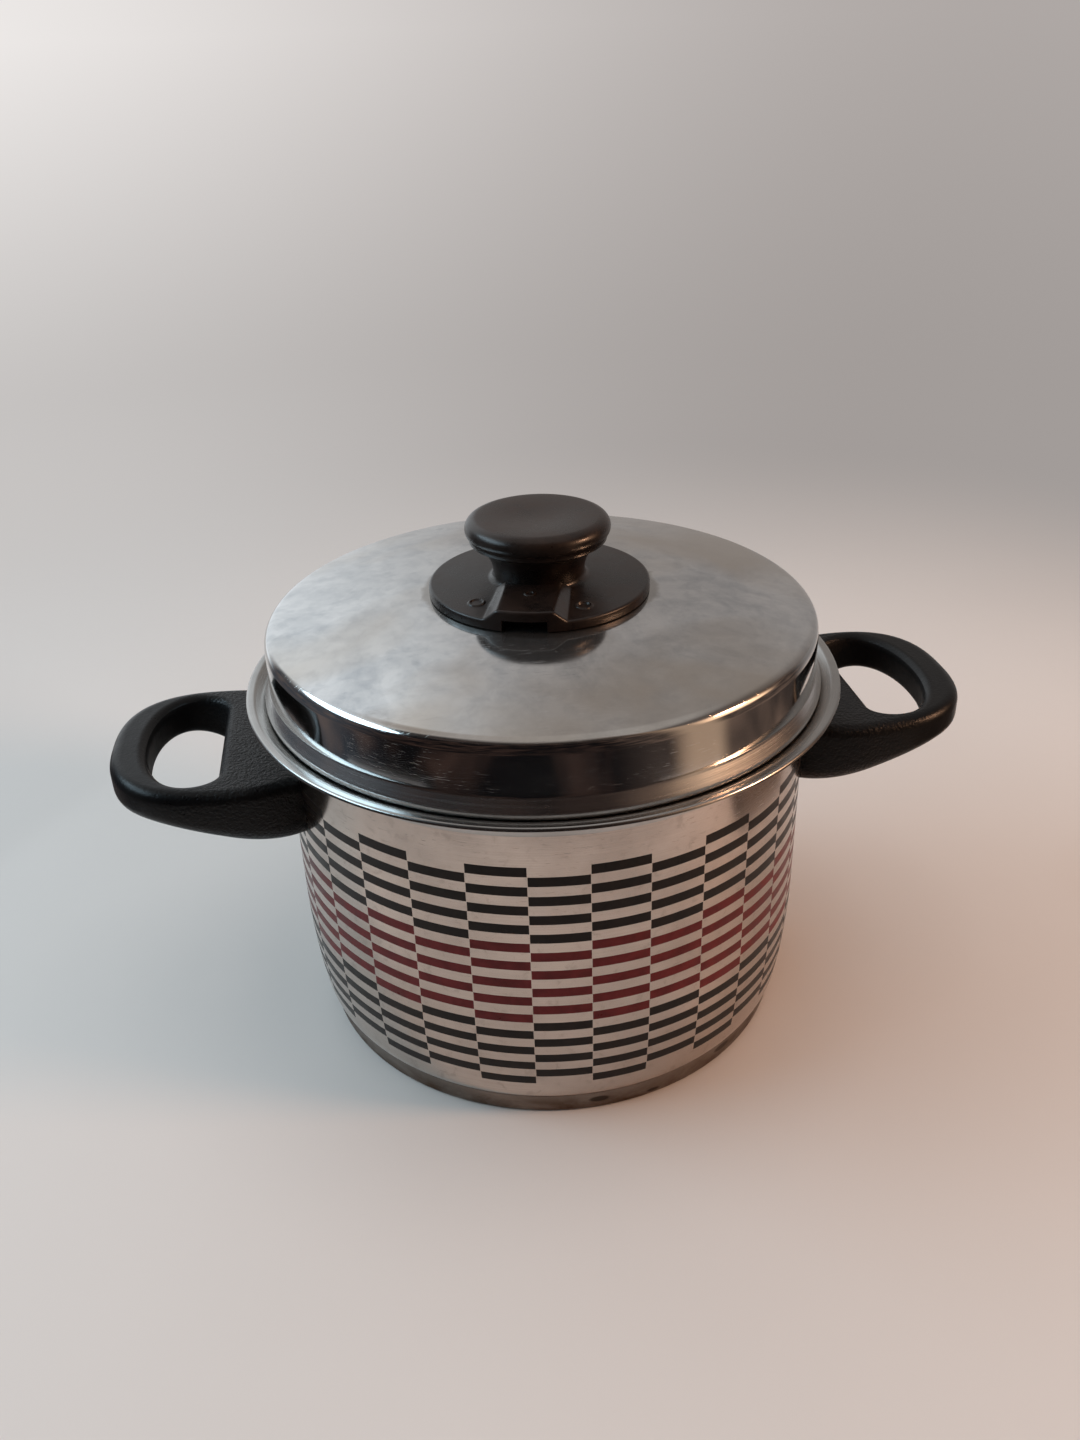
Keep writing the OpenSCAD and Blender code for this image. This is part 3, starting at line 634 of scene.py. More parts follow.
def dome_steel(steel, cloud, stain, flange_r):
    """Top of the lid: satin, clouded and stained, with many fine wipe marks, and darker with painted shade
    close to the knob.
    """
    f = Finish("dome_steel", metallic=0.96)
    x, y, z = f.parts()
    flat = f.moved(f.place, (1, 1, 0.2))
    clouds = f.noise(24, 6, 0.62, flat, 1.4)
    spots = f.noise(62, 5, 0.6, flat, 0.6)
    flecks = f.noise(150, 4, 0.6, flat, 0.4)
    warm = f.noise(12, 3, 0.5, f.moved(flat, turn=(0, 0, 40)), 0.5)
    marks = f.scratches(f.place, (20, 60, 28, 0.69), (75, 75, 26, 0.695), (130, 66, 26, 0.695),
                        (160, 90, 26, 0.695))
    lines = f.lines(f.around(False), 5, 1500, 4, 0.65)
    dull = f.plus(f.spread(clouds, 0.42, 0.62, 0, 0.42), f.spread(spots, 0.46, 0.6, 0, 0.27),
                  f.spread(flecks, 0.44, 0.62, 0, 0.26))
    tone = f.blend(dull, steel, cloud)
    tone = f.blend(f.spread(warm, 0.46, 0.66, 0.0, 0.85), tone, stain)
    # Painted shade: the dome darkens towards the knob's flange, where the knob overhangs it
    out = f.plus(f.span(x, y), f.spread(spots, 0.3, 0.7, -2 * MM, 2 * MM))
    painted_shade_by_knob = f.spread(out, flange_r + 3.2 * MM, flange_r + 0.8 * MM, 0.0, 0.6, soft=True)
    tone = f.blend(painted_shade_by_knob, tone, darker(stain, 0.5))
    gloss = f.plus(f.spread(dull, 0.0, 1.0, 0.055, 0.13), f.spread(lines, 0.3, 0.7, 0.0, 0.03),
                   f.times(marks, 0.1))
    height = f.minus(f.times(lines, 0.3), f.times(marks, 0.5))
    waves = f.noise(30, 2, 0.4)
    return f.set(tone, gloss, f.bump(height, 0.03 * MM, 0.45, f.bump(waves, 0.5 * MM, 0.13)))


def skirt_steel(steel):
    """Mirror-bright skirt of the lid, with rubbing marks round it."""
    f = Finish("skirt_steel", metallic=1.0)
    way = f.around()
    clouds = f.noise(30, 4, 0.6)
    lines = f.lines(way, 10, 2200)
    marks = f.scratches(way, (4, 130, 30, 0.69), (-9, 170, 28, 0.70), (83, 120, 24, 0.72))
    tone = f.blend(f.spread(clouds, 0.35, 0.75), steel, darker(steel, 0.86))
    gloss = f.plus(f.spread(clouds, 0.35, 0.75, 0.05, 0.1), f.times(marks, 0.05),
                   f.spread(lines, 0.35, 0.7, 0.0, 0.03))
    waves = f.noise(24, 2, 0.4)
    return f.set(tone, gloss, f.bump(marks, 0.01 * MM, 0.2, f.bump(waves, 0.6 * MM, 0.22)))


def handle_moulding(name, body, rubbed, shine, dull):
    """Black phenolic: satin, with a pebble grain that the hands have rubbed smooth towards the tip."""
    f = Finish(name, specular_ior_level=shine)
    x, y, z = f.parts()
    grain_left = f.spread(f.sum("ABSOLUTE", x), 150 * MM, 116 * MM, 0.15, 1.0, soft=True)
    grain = f.noise(2000, 2, 0.5)
    pebble = f.noise(850, 2, 0.5)
    clouds = f.noise(55, 4, 0.6)
    wear = f.noise(240, 4, 0.7)
    tone = f.blend(f.spread(clouds, 0.35, 0.75, 0.1, 0.8), body, rubbed)
    gloss = f.plus(f.spread(clouds, 0.3, 0.75, 0.24 + dull, 0.34 + dull),
                   f.spread(wear, 0.35, 0.7, 0.0, 0.09))
    height = f.times(f.plus(f.times(grain, 0.4), pebble), grain_left)
    skin = f.bump(f.noise(2600, 2), 0.03 * MM, 0.3)
    return f.set(tone, gloss, f.bump(height, 0.5 * MM, 1.0, skin))


def knob_moulding(body, worn, head_z, head_r):
    """Brown-black phenolic, dulled by heat and handling, paler on top of the head."""
    f = Finish("knob_moulding", specular_ior_level=0.34)
    x, y, z = f.parts()
    clouds = f.noise(48, 5, 0.62, twist=0.6)
    specks = f.noise(420, 4, 0.65)
    fine = f.noise(1500, 2, 0.5)
    head = f.times(f.spread(z, head_z - 4 * MM, head_z - 1 * MM, soft=True),
                   f.spread(f.span(x, y), 0.0, head_r, 1.0, 0.7))
    worn_share = f.plus(f.spread(clouds, 0.38, 0.7, 0.0, 0.55), f.times(head, 0.35),
                        f.spread(specks, 0.5, 0.75, 0.0, 0.25))
    gloss = f.plus(f.spread(clouds, 0.3, 0.75, 0.21, 0.36), f.spread(specks, 0.35, 0.7, 0.0, 0.08))
    normal = f.bump(f.plus(f.times(specks, 0.5), fine), 0.05 * MM, 0.5)
    return f.set(f.blend(worn_share, body, worn), gloss, normal)


def plated(name, tint, low, high):
    """Small metal parts: plated, pressed or turned, with a fine grain; roughness from low to high."""
    f = Finish(name, metallic=1.0)
    clouds = f.noise(160, 4, 0.6)
    grain = f.noise(2200, 2, 0.5)
    tone = f.blend(f.spread(clouds, 0.35, 0.75), tint, darker(tint, 0.72))
    return f.set(tone, f.spread(clouds, 0.3, 0.75, low, high), f.bump(grain, 0.02 * MM, 0.4))


def glowing(f, shade, tone, share_of_glow):
    """Mixes a plain glow over a shader, by a share."""
    glow = f.add("ShaderNodeEmission")
    f.feed(glow.inputs["Color"], tone)
    mix = f.add("ShaderNodeMixShader")
    f.feed(mix.inputs[0], share_of_glow)
    f.tree.links.new(shade, mix.inputs[1])
    f.tree.links.new(glow.outputs[0], mix.inputs[2])
    f.tree.links.new(mix.outputs[0], f.one("OUTPUT_MATERIAL").inputs["Surface"])
    return f.material


def floor_with_painted_backdrop_light(tint, bright, dim, near, far):
    """Pale painted board that passes, between two distances, into a glowing backdrop of painted light:
    brighter on the left, dimmer on the right and darker low down.
    """
    f = Finish("floor_with_painted_backdrop_light", specular_ior_level=0.3)
    x, y, z = f.parts()
    clouds = f.noise(5, 4, 0.5)
    grain = f.noise(180, 3, 0.5)
    f.set(f.blend(f.spread(clouds, 0.3, 0.75), tint, darker(tint, 0.965)),
          f.spread(grain, 0.3, 0.7, 0.5, 0.6), f.bump(grain, 0.2 * MM, 0.1))
    out = f.span(x, y)
    aside = f.sum("DIVIDE", x, f.plus(out, 1 * MM))
    # Painted light on the far floor and the backdrop: a bright left side, a dim right side, and darker
    # tones low down
    rise = f.spread(z, 0.0, 360 * MM)
    tone = f.blend(f.spread(aside, -0.58, 0.55, soft=True),
                   f.blend(rise, darker(bright, 0.63), bright), f.blend(rise, darker(dim, 0.85), dim))
    return glowing(f, f.shader.outputs[0], tone, f.spread(out, near, far, soft=True))


def painted_reflection_card(low, high, near):
    """Dark mottled sheet, a painted reflection of a dark room with a glowing painted highlight, that ends
    in soft edges: near its axis, at two headings and high up.

    Headings are in degrees from the front, and more is further to the right.
    """
    f = Finish("painted_reflection_card")
    x, y, z = f.parts()
    way = f.sum("ARCTAN2", x, f.times(y, -1.0))
    out = f.span(x, y)
    height = f.sum("ARCTAN2", z, out)
    shapes = f.spread(f.noise(6, 3, 0.5, twist=0.8), 0.46, 0.62)

    def sector(*headings):
        """One between headings, with soft sides."""
        return f.band(way, *(math.radians(a) for a in headings))

    # Painted reflection: brown-black in front, cool to the left, warm to the right with one pale strip
    tone = f.blend(shapes, (0.006, 0.0055, 0.006), (0.05, 0.03, 0.024))
    tone = f.blend(f.swing(way, -60, -95), tone, f.blend(shapes, (0.05, 0.06, 0.075), (0.13, 0.105, 0.10)))
    tone = f.blend(f.swing(way, 12, 34), tone, f.blend(shapes, (0.055, 0.04, 0.034), (0.19, 0.125, 0.095)))
    tone = f.blend(sector(34, 46, 54, 62), tone, (0.50, 0.34, 0.235))
    # A painted warm highlight: a glowing patch low on the right
    painted_highlight_patch = f.band(height, *(math.radians(a) for a in (14, 20, 33, 42)), soft=False)
    tone = f.blend(f.times(painted_highlight_patch, sector(48, 62, 78, 92)), tone, (2.5, 1.55, 0.95))
    # Where the near edge lies closer in, and where the card stands higher
    closer = f.plus(f.times(sector(55, 66, 92, 108), 95 * MM), f.times(sector(-52, -38, 22, 34), 27 * MM),
                    f.times(f.swing(way, -80, -92), 50 * MM))
    taller = f.times(sector(-105, -65, 30, 58), math.radians(36))
    edge = f.times(f.spread(f.plus(out, closer), near, near + 18 * MM, soft=True),
                   f.swing(f.minus(height, taller), 42, 22))
    clear = f.add("ShaderNodeBsdfTransparent")
    f.tree.nodes.remove(f.shader)
    return glowing(f, clear.outputs[0], tone, f.times(edge, sector(low, low + 12, high - 14, high)))


# ---- profiles ----

def pot_corner(p):
    """Lean of the wall where it meets the corner, in degrees, and the middle of the corner's bend."""
    reach = p.draw_in_r - p.corner_r
    lean = math.asin((p.draw_in_z - p.base_t - p.corner_r) / reach)
    x = p.inner_r + p.wall_t - p.draw_in_r + reach * math.cos(lean)
    return math.degrees(lean), (x, p.base_t + p.corner_r)


def pot_inside(p):
    """Inside face of the pot, from the floor's middle to the lip's edge, and the flare's lowest height."""
    lean, corner = pot_corner(p)
    flare = math.degrees(p.flare_angle)
    slope = math.radians(90 - flare)
    lip_rise = p.lip_bend_r * (1 - math.cos(slope))
    flare_z = p.rim_z - lip_rise - p.flare_run * math.tan(slope) - p.flare_r * math.sin(p.flare_angle)
    flare_w = p.flare_r * (1 - math.cos(p.flare_angle)) + p.flare_run
    lip_x = p.inner_r + flare_w + p.lip_bend_r * math.sin(slope)
    draw_in_x = p.inner_r + p.wall_t - p.draw_in_r
    path = [(0.0, p.base_t + p.wall_t)]
    path += arc(corner, p.corner_r - p.wall_t, -90, -lean, 20)
    path += arc((draw_in_x, p.draw_in_z), p.draw_in_r - p.wall_t, -lean, 0, 40, True)
    path += arc((p.inner_r + p.flare_r, flare_z), p.flare_r, 180, 180 - flare, 24)
    path += arc((lip_x, p.rim_z - p.lip_bend_r), p.lip_bend_r, 180 - flare, 90, 10)
    path += arc((lip_x + p.lip_flat, p.rim_z - p.lip_edge_r), p.lip_edge_r, 90, 0, 10)
    return path, flare_z


def lid_outside(p, pot):
    """Outside face of the lid, from screw hole to curl, and the heights of its shoulder and its fold."""
    flare_z = pot_inside(pot)[1]
    curl_x = p.band_r - p.curl_r
    reach = pot.flare_r + p.curl_r + p.seat_gap
    curl = (curl_x, flare_z + math.sqrt(reach ** 2 - (pot.inner_r + pot.flare_r - curl_x) ** 2))
    dome = (0.0, pot.rim_z + p.dome_up - p.dome_r)
    lean = math.asin((p.skirt_r - p.shoulder_r) / (p.dome_r - p.shoulder_r))
    shoulder = (p.skirt_r - p.shoulder_r, dome[1] + (p.dome_r - p.shoulder_r) * math.cos(lean))
    dome_end = 90 - math.degrees(lean)
    path = arc(dome, p.dome_r, 90 - math.degrees(math.asin(p.screw_hole_r / p.dome_r)), dome_end, 60)
    path += arc(shoulder, p.shoulder_r, dome_end, 0, 22, True)
    band = arc(curl, p.curl_r, math.degrees(p.band_lean), -120, 26)
    # The fold is a small curve between the upright skirt and the leaning band
    fold_z, reach, steps = curl[1] + p.fold_up, 0.12, 6
    for i in range(steps + 1):
        on_skirt, on_band = reach * (1 - i / steps) ** 2, reach * (i / steps) ** 2
        path.append((p.skirt_r + (band[0][0] - p.skirt_r) * on_band,
                     fold_z + on_skirt * p.fold_up - (fold_z - band[0][1]) * on_band))
    return path + band, shoulder[1], fold_z


def knob_levels(p, lid, pot):
    """Heights of the dome's middle, of the flange's edge and of the neck's foot."""
    apex = pot.rim_z + lid.dome_up
    return apex, apex + p.flange_up, apex + p.flange_up + p.flange_cone


def head_profile(p, lid, pot):
    """Head and neck of the knob, with the hole for its insert, as a closed profile."""
    apex, flange_z, foot_z = knob_levels(p, lid, pot)
    top = apex + p.height
    head = (p.head_r - p.head_edge_w, top - p.head_edge_h)
    parting, sweep = 40, 70                     # degrees round the head's edge, and round the neck's curve
    groove_w, groove_h = 0.25 * MM, 0.3 * MM    # groove under the parting line
    under_in, under_down = 0.4 * MM, 1.7 * MM   # from the parting line to the start of the neck's curve
    part = (head[0] + p.head_edge_w * math.cos(math.radians(parting)),
            head[1] - p.head_edge_h * math.sin(math.radians(parting)))
    neck_z = foot_z + p.neck_fillet
    under_a = (part[0] - under_in - p.neck_r) / (1 - math.cos(math.radians(sweep)))
    under_b = (part[1] - under_down - neck_z) / math.sin(math.radians(sweep))
    path = [(head[0] * i / 16, top - p.dish * ease(1 - i / 16, 0.0, 1.0)) for i in range(16)]
    path += ellipse_arc(head, p.head_edge_w, p.head_edge_h, 90, -parting, 26)
    path.append((part[0] - groove_w, part[1] - groove_h))
    path += ellipse_arc((p.neck_r + under_a, neck_z), -under_a, under_b, sweep, 4, 24)
    path += arc((p.neck_r + p.neck_fillet, neck_z), p.neck_fillet, 180, 270, 10)
    low, hole_top = flange_z - 0.2 * MM, apex + p.gap + p.insert_depth
    path += [(p.neck_r + p.neck_fillet, low), (p.insert_r, low)]
    return path + [(p.insert_r, hole_top), (0.0, hole_top)]


def ring_height(distance, outer, line, up):
    """Height of a raised ring: full along the middle of its line, and soft at the line's edges."""
    foot, crown = 0.625, 0.45  # reach of the foot in lines, and the share of it with the full height
    return up * (1 - ease(abs(distance - outer + line / 2) / (line * foot), crown, 1.0))


def flange_headings(p):
    """Headings of the flange's points, in degrees: close together at the channel and the marks."""
    channel, mark, close, wide = 27, 7, 0.36, 1.2  # half widths of channel and mark, and the two steps
    half_mouth = math.degrees(math.asin(p.passage_w / 2 / p.flange_r))
    headings, at = [s * half_mouth + d for s in (-1, 1) for d in (-0.05, 0.05)], -180.0
    while at < 180.0 - 1e-6:
        headings.append(at)
        at += close if abs(at) < channel or abs(abs(at) - math.degrees(p.mark_turn)) < mark else wide
    return sorted(headings)


def flange_rings(p, lid, pot):
    """Rings of points over the flange: its top with channel and marks, its edge and its underside."""
    apex, flange_z, foot_z = knob_levels(p, lid, pot)
    under_r, dome_z = lid.dome_r + p.gap, apex - lid.dome_r
    mark_line, mark_up, mark_down = 1.0 * MM, 0.42 * MM, 0.4 * MM
    channel_mark_at, passage_up = 25 * MM, 0.4 * MM
    passage_end = p.passage_from + p.passage_w / 4
    mark_x, mark_y = p.mark_at * math.cos(p.mark_turn), p.mark_at * math.sin(p.mark_turn)
    cone_w = p.flange_r - p.neck_r - p.neck_fillet

    def top(x, y):
        """Upper face: a shallow cone with a ring mark at each side, one of them sunk, and the channel."""
        z = flange_z + p.flange_cone * (p.flange_r - math.hypot(x, y)) / cone_w
        for side in (-1, 1):
            d = math.hypot(x - mark_x, y - side * mark_y)
            z += ring_height(d, p.mark_r, mark_line, mark_up)
            if side > 0:
                z -= mark_down * (1 - ease(d, p.mark_r - 1.2 * mark_line, p.mark_r - 0.6 * mark_line))
        if x > 0:
            slant = (p.hump_foot_w / 2 - abs(y)) / (p.hump_foot_w / 2 - p.hump_top_w / 2)
            hump = flange_z - p.hump_h * soft_max(-slant, -1.0, 0.12)
            d = math.hypot(x - channel_mark_at, y)
            hump += ring_height(d, p.mark_r - mark_line, mark_line, mark_up)
            z = soft_max(z, hump, 0.35 * MM)
        return z

    def neck_foot(x, y):
        return foot_z

    def under(x, y):
        """Underside: just over the dome, and higher in the steam passage."""
        if x > passage_end and abs(y) < p.passage_w / 2:
            return flange_z + passage_up
        return dome_z + math.sqrt(under_r ** 2 - x * x - y * y)

    turns = [math.radians(a) for a in flange_headings(p)]

    def ring(r, height, drop=0.0):
        plan = [(r * math.cos(t), r * math.sin(t)) for t in turns]
        return [(x, y, height(x, y) - drop) for x, y in plan]

    # Steps between the rings of the top are finer where the marks lie
    fine, coarse, fine_from, fine_to = 0.27 * MM, 0.5 * MM, 22 * MM, 35.4 * MM
    rings = [ring(r, neck_foot) for r in (p.insert_r, 10 * MM, 15 * MM)]
    r = p.neck_r
    while r < p.flange_r - p.flange_edge_r - 0.05 * MM:
        rings.append(ring(r, top))
        r += fine if fine_from < r < fine_to else coarse
    for turn in (math.radians(a) for a in range(0, 91, 18)):
        rings.append(ring(p.flange_r - p.flange_edge_r * (1 - math.sin(turn)), top,
                          p.flange_edge_r * (1 - math.cos(turn))))
    crown, base = rings[-1], ring(p.flange_r, under)
    rings.append([between(a, b, 0.5) for a, b in zip(base, crown)])
    rings.append([(x, y, z + 0.15 * MM) for x, y, z in base])
    rings.append(ring(p.flange_r - 0.6 * MM, under))
    rings += [ring(r * MM, under) for r in (38, 35, 32, 30)]
    rings += [ring(passage_end + d, under) for d in (0.05 * MM, -0.05 * MM)]
    return rings + [ring(r, under) for r in (24 * MM, 16 * MM, p.insert_r)]


def handle_rings(p):
    """Rings of points over one handle, along +X: outer faces, upper face, finger hole and underside."""
    tip_n, side_n, end_n, round_n, face_n = 96, 20, 44, 10, 10  # steps of the outlines, roundings and faces
    widest, hole_mid, rise_from = 122 * MM, 135 * MM, 130 * MM
    tip_power, hole_power, hole_corner = 2.6, 2.1, 8.8 * MM
    low_from, low_to = 92 * MM, 155.5 * MM                      # where the underside rises
    round_from, round_to = 98 * MM, 144 * MM                    # where its rounding changes
    half = p.width / 2
    root_x = math.sqrt(p.end_r ** 2 - (p.root_w / 2) ** 2)
    bow = (widest - root_x) / math.sqrt(1 - (p.root_w / p.width) ** 2)

    def loop_end(middle, tip_x, half_w, exponent):
        """Half a superellipse round the tip, from one side to the other."""
        turns = [math.radians(-90 + 180 * i / tip_n) for i in range(tip_n + 1)]
        return [(middle + (tip_x - middle) * power(math.cos(t), 2 / exponent),
                 half_w * power(math.sin(t), 2 / exponent)) for t in turns]

    # Outer outline: round the tip, then along the bowed side to the wall
    side_x = [widest - (widest - root_x) * i / side_n for i in range(1, side_n + 1)]
    upper_side = [(x, half * math.sqrt(1 - ((widest - x) / bow) ** 2)) for x in side_x]
    run = loop_end(widest, p.reach, half, tip_power) + upper_side
    mirrored = (2 * run[0][0] - run[1][0], run[1][1])
    inward = left_of([mirrored] + run + [run[-1]])

    # Outline of the finger hole: round its tip, a corner, the flat inner wall and the other corner
    hole_half = half - p.bar_side
    flat = hole_half - hole_corner
    corner = [(hole_mid - (hole_mid - p.loop_from) * math.sin(t), flat + hole_corner * math.cos(t))
              for t in (math.pi / 2 * i / side_n for i in range(1, side_n + 1))]
    hole = loop_end(hole_mid, p.reach - p.bar_tip, hole_half, hole_power) + corner
    hole += [(p.loop_from, flat * (1 - 2 * i / end_n)) for i in range(1, end_n)]
    hole += [(x, -y) for x, y in reversed(corner)]
    hole_out = left_of([hole[-1]] + hole + [hole[0]])

    def face_z(x, at_top, drop):
        """Height of the upper face or the underside, moved into the moulding by a drop."""
        if at_top:
            return p.top_z + p.rise * (x - rise_from) - drop
        return p.root_low_z + (p.tip_low_z - p.root_low_z) * ease(x, low_from, low_to) + drop

    def edge_r(x, at_top):
        """Rounding of the outer edge, above and below."""
        if at_top:
            return p.edge_r
        return p.root_edge_r + (p.low_edge_r - p.root_edge_r) * ease(x, round_from, round_to)

    def onto_wall(point, way):
        """The point moved along a direction to the nearer of the two places where it meets the pot."""
        along = point[0] * way[0] + point[1] * way[1]
        root = math.sqrt(max(0.0, along ** 2 - (point[0] ** 2 + point[1] ** 2 - p.end_r ** 2)))
        t = min(root - along, -root - along, key=abs)
        return point[0] + t * way[0], point[1] + t * way[1]

    def inset(d_of):
        """Outer outline moved inwards by a distance that x gives, closed along the wall."""
        moved = [(x + d_of(x) * nx, y + d_of(x) * ny) for (x, y), (nx, ny) in zip(run, inward)]
        moved[-1] = onto_wall(moved[-1], unit(run[-1][0] - run[-2][0], run[-1][1] - run[-2][1]))
        for k in range(-side_n + 1, -1):
            x, y = moved[k]
            if math.hypot(x, y) < p.end_r:
                moved[k] = (math.sqrt(max(0.0, p.end_r ** 2 - y * y)) + 1e-6, y)
        turn = math.atan2(moved[-1][1], moved[-1][0])
        wall = [(p.end_r * math.cos(a), p.end_r * math.sin(a))
                for a in (turn * (1 - 2 * i / end_n) for i in range(1, end_n))]
        return moved + wall + [(x, -y) for x, y in reversed(moved[tip_n + 1:])]

    def outer_row(k, at_top):
        a = math.pi / 2 * k / round_n
        plan = inset(lambda x: edge_r(x, at_top) * (1 - math.sin(a)))
        first_x = [x for x, _ in run] + [root_x] * (end_n - 1) + side_x[::-1]
        return [(x, y, face_z(x, at_top, edge_r(x0, at_top) * (1 - math.cos(a))))
                for (x, y), x0 in zip(plan, first_x)]

    def hole_row(k, at_top):
        a = math.pi / 2 * k / round_n
        out, drop = p.hole_edge_r * (1 - math.sin(a)), p.hole_edge_r * (1 - math.cos(a))
        plan = [(x - out * nx, y - out * ny) for (x, y), (nx, ny) in zip(hole, hole_out)]
        return [(x, y, face_z(x, at_top, drop)) for x, y in plan]

    def face_row(k, at_top):
        plan = [between(a, b, k / face_n) for a, b in zip(outer_row(0, at_top), hole_row(0, at_top))]
        return [(x, y, face_z(x, at_top, 0.0)) for x, y, _ in plan]

    up, down = range(round_n + 1), range(round_n, -1, -1)
    rings = [outer_row(k, False) for k in up] + [outer_row(k, True) for k in down]
    rings += [face_row(k, True) for k in range(1, face_n)]
    rings += [hole_row(k, True) for k in up] + [hole_row(k, False) for k in down]
    return rings + [face_row(k, False) for k in range(face_n - 1, 0, -1)]


# ---- operators ----

class KETTLE_OT_pot_body(bpy.types.Operator):
    """Turns the pot's steel body, from the floor to the flared rim"""
    bl_idname = "kettle.pot_body"
    bl_label = "Pot body"

    def execute(self, context):
        p = context.scene.kettle_pot
        inside, flare_z = pot_inside(p)
        inside = split_long(inside, 6 * MM)

        def pick(face):
            """Lip and flare, the used inside, or the polished outside."""
            if face.center.z > flare_z:
                return 1
            faces_in = face.normal.to_2d().dot(face.center.to_2d()) < -1e-6
            return 2 if faces_in or face.normal.z > 0.3 else 0

        finishes = [wall_steel(p.steel), rim_steel("lip_steel", p.lip_steel),
                    inside_steel("pot_inside_steel", p.lip_steel)]
        pot = turned("pot_shell_visual", inside + offset_path(inside, -p.wall_t)[::-1], finishes, pick)
        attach(pot, "pot")
        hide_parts("pot_shell")
        return {"FINISHED"}


class KETTLE_OT_wall_print(bpy.types.Operator):
    bl_idname = "kettle.wall_print"
    bl_label = "Wall print"

    columns = 30
    # Bars from the top down as (number, ink), for the columns that start high and those that start low
    bars_high = ((4, "dark"), (5, "red"), (4, "dark"))
    bars_low = ((4, "dark"), (4, "red"), (4, "dark"))

    def execute(self, context):
        p = context.scene.kettle_pot
        spare, hold, across = 4 * MM, 0.004 * MM, 3  # wall above the print, ink in the steel, steps per bar
        outside = offset_path(split_long(pot_inside(p)[0], 2 * MM), -p.wall_t)
        wall = [q for q in outside if q[1] <= p.print_top + spare and q[0] > 0.9 * p.inner_r][::-1]
        ways = [0.0]
        for a, b in zip(wall, wall[1:]):
            ways.append(ways[-1] + math.dist(a, b))

        def at(way):
            """Place and outward direction on the wall, at a distance along its profile."""
            i = max(k for k in range(len(ways) - 1) if ways[k] <= way)
            a, b = wall[i], wall[i + 1]
            tr, tz = unit(b[0] - a[0], b[1] - a[1])
            return *between(a, b, (way - ways[i]) / (ways[i + 1] - ways[i])), -tz, tr

        turn = 360 / self.columns
        trim = math.degrees(p.column_gap / 2 / p.inner_r)
        prints = {"dark": ([], []), "red": ([], [])}
        for column in range(self.columns):
            starts_low = column % 2
            way = wall[0][1] - p.print_top + starts_low * p.half_pitch
            left = -90 + turn * column
            edges = [left + trim, *(left + d for d in range(1, int(turn))), left + turn - trim]
            turns = [math.radians(a) for a in edges]
            for count, tint in self.bars_low if starts_low else self.bars_high:
                points, faces = prints[tint]
                for _ in range(count):
                    cuts = [at(way + p.bar_h * i / across) for i in range(across + 1)]
                    faces += slab_faces(len(points), len(turns), len(cuts))
                    for lift in (p.ink_t, -hold):
                        for r, z, nr, nz in cuts:
                            out = r + nr * lift
                            points += [(out * math.cos(t), out * math.sin(t), z + nz * lift) for t in turns]
                    way += 2 * p.half_pitch
        for name, tint, value in (("print_dark", "dark", p.ink_dark), ("print_red", "red", p.ink_red)):
            bars = finish_mesh(name, *prints[tint], [ink(name + "_ink", value)], crease=30, tidy=False)
            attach(bars, "pot")
        return {"FINISHED"}


class KETTLE_OT_base(bpy.types.Operator):
    """Turns the cap of the heavy base, browned by heat"""
    bl_idname = "kettle.base"
    bl_label = "Base cap"

    def execute(self, context):
        p = context.scene.kettle_pot
        corner_x, corner_z = pot_corner(p)[1]
        gap = 0.05 * MM

        def floor_at(r):
            """Height just under the pot's corner."""
            return corner_z - math.sqrt(p.corner_r ** 2 - (r - corner_x) ** 2) - gap

        mid, inner_r = (p.cap_r - p.cap_edge_r, p.cap_edge_r), p.cap_r - p.cap_t
        profile = [(0.0, 0.0)] + arc(mid, p.cap_edge_r, -90, 0, 10)
        profile += [(p.cap_r, floor_at(p.cap_r)), (inner_r, floor_at(inner_r))]
        profile += arc(mid, p.cap_edge_r - p.cap_t, 0, -90, 6) + [(0.0, p.cap_t)]
        finish = base_steel(p.steel, p.heat_tint, p.cap_r)
        cap = turned("base_cap_visual", split_long(profile, 12 * MM), [finish])
        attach(cap, "pot")
        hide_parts("base_cap")
        return {"FINISHED"}


class KETTLE_OT_lid(bpy.types.Operator):
    """Turns the lid: clouded dome, bright skirt, fold and curled band"""
    bl_idname = "kettle.lid"
    bl_label = "Lid"

    def execute(self, context):
        p, pot, knob = context.scene.kettle_lid, context.scene.kettle_pot, context.scene.kettle_knob
        outside, shoulder_z, fold_z = lid_outside(p, pot)
        bright_below = shoulder_z + 0.62 * p.shoulder_r

        def pick(face):
            """Inside, band, skirt with the foot of the shoulder, or dome."""
            if face.normal.to_2d().dot(face.center.to_2d()) < 0:
                return 3
            if face.center.z < fold_z:
                return 2
            return 1 if face.center.z < bright_below else 0

        finishes = [dome_steel(p.steel, p.cloud, p.stain, knob.flange_r), skirt_steel(p.steel),
                    rim_steel("band_steel", p.steel), inside_steel("lid_inside_steel", p.steel)]
        lid = turned("lid_shell_visual", outside + offset_path(outside, -p.sheet_t)[::-1], finishes, pick)
        vent_low, vent_depth = pot.rim_z + p.dome_up - 6 * MM, 10 * MM
        vent = (p.vent_at * math.cos(knob.heading), p.vent_at * math.sin(knob.heading), vent_low)
        cut(lid, plug(p.vent_r, vent_depth, vent, (0, 0, 1)))
        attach(lid, "lid")
        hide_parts("lid_shell")
        return {"FINISHED"}


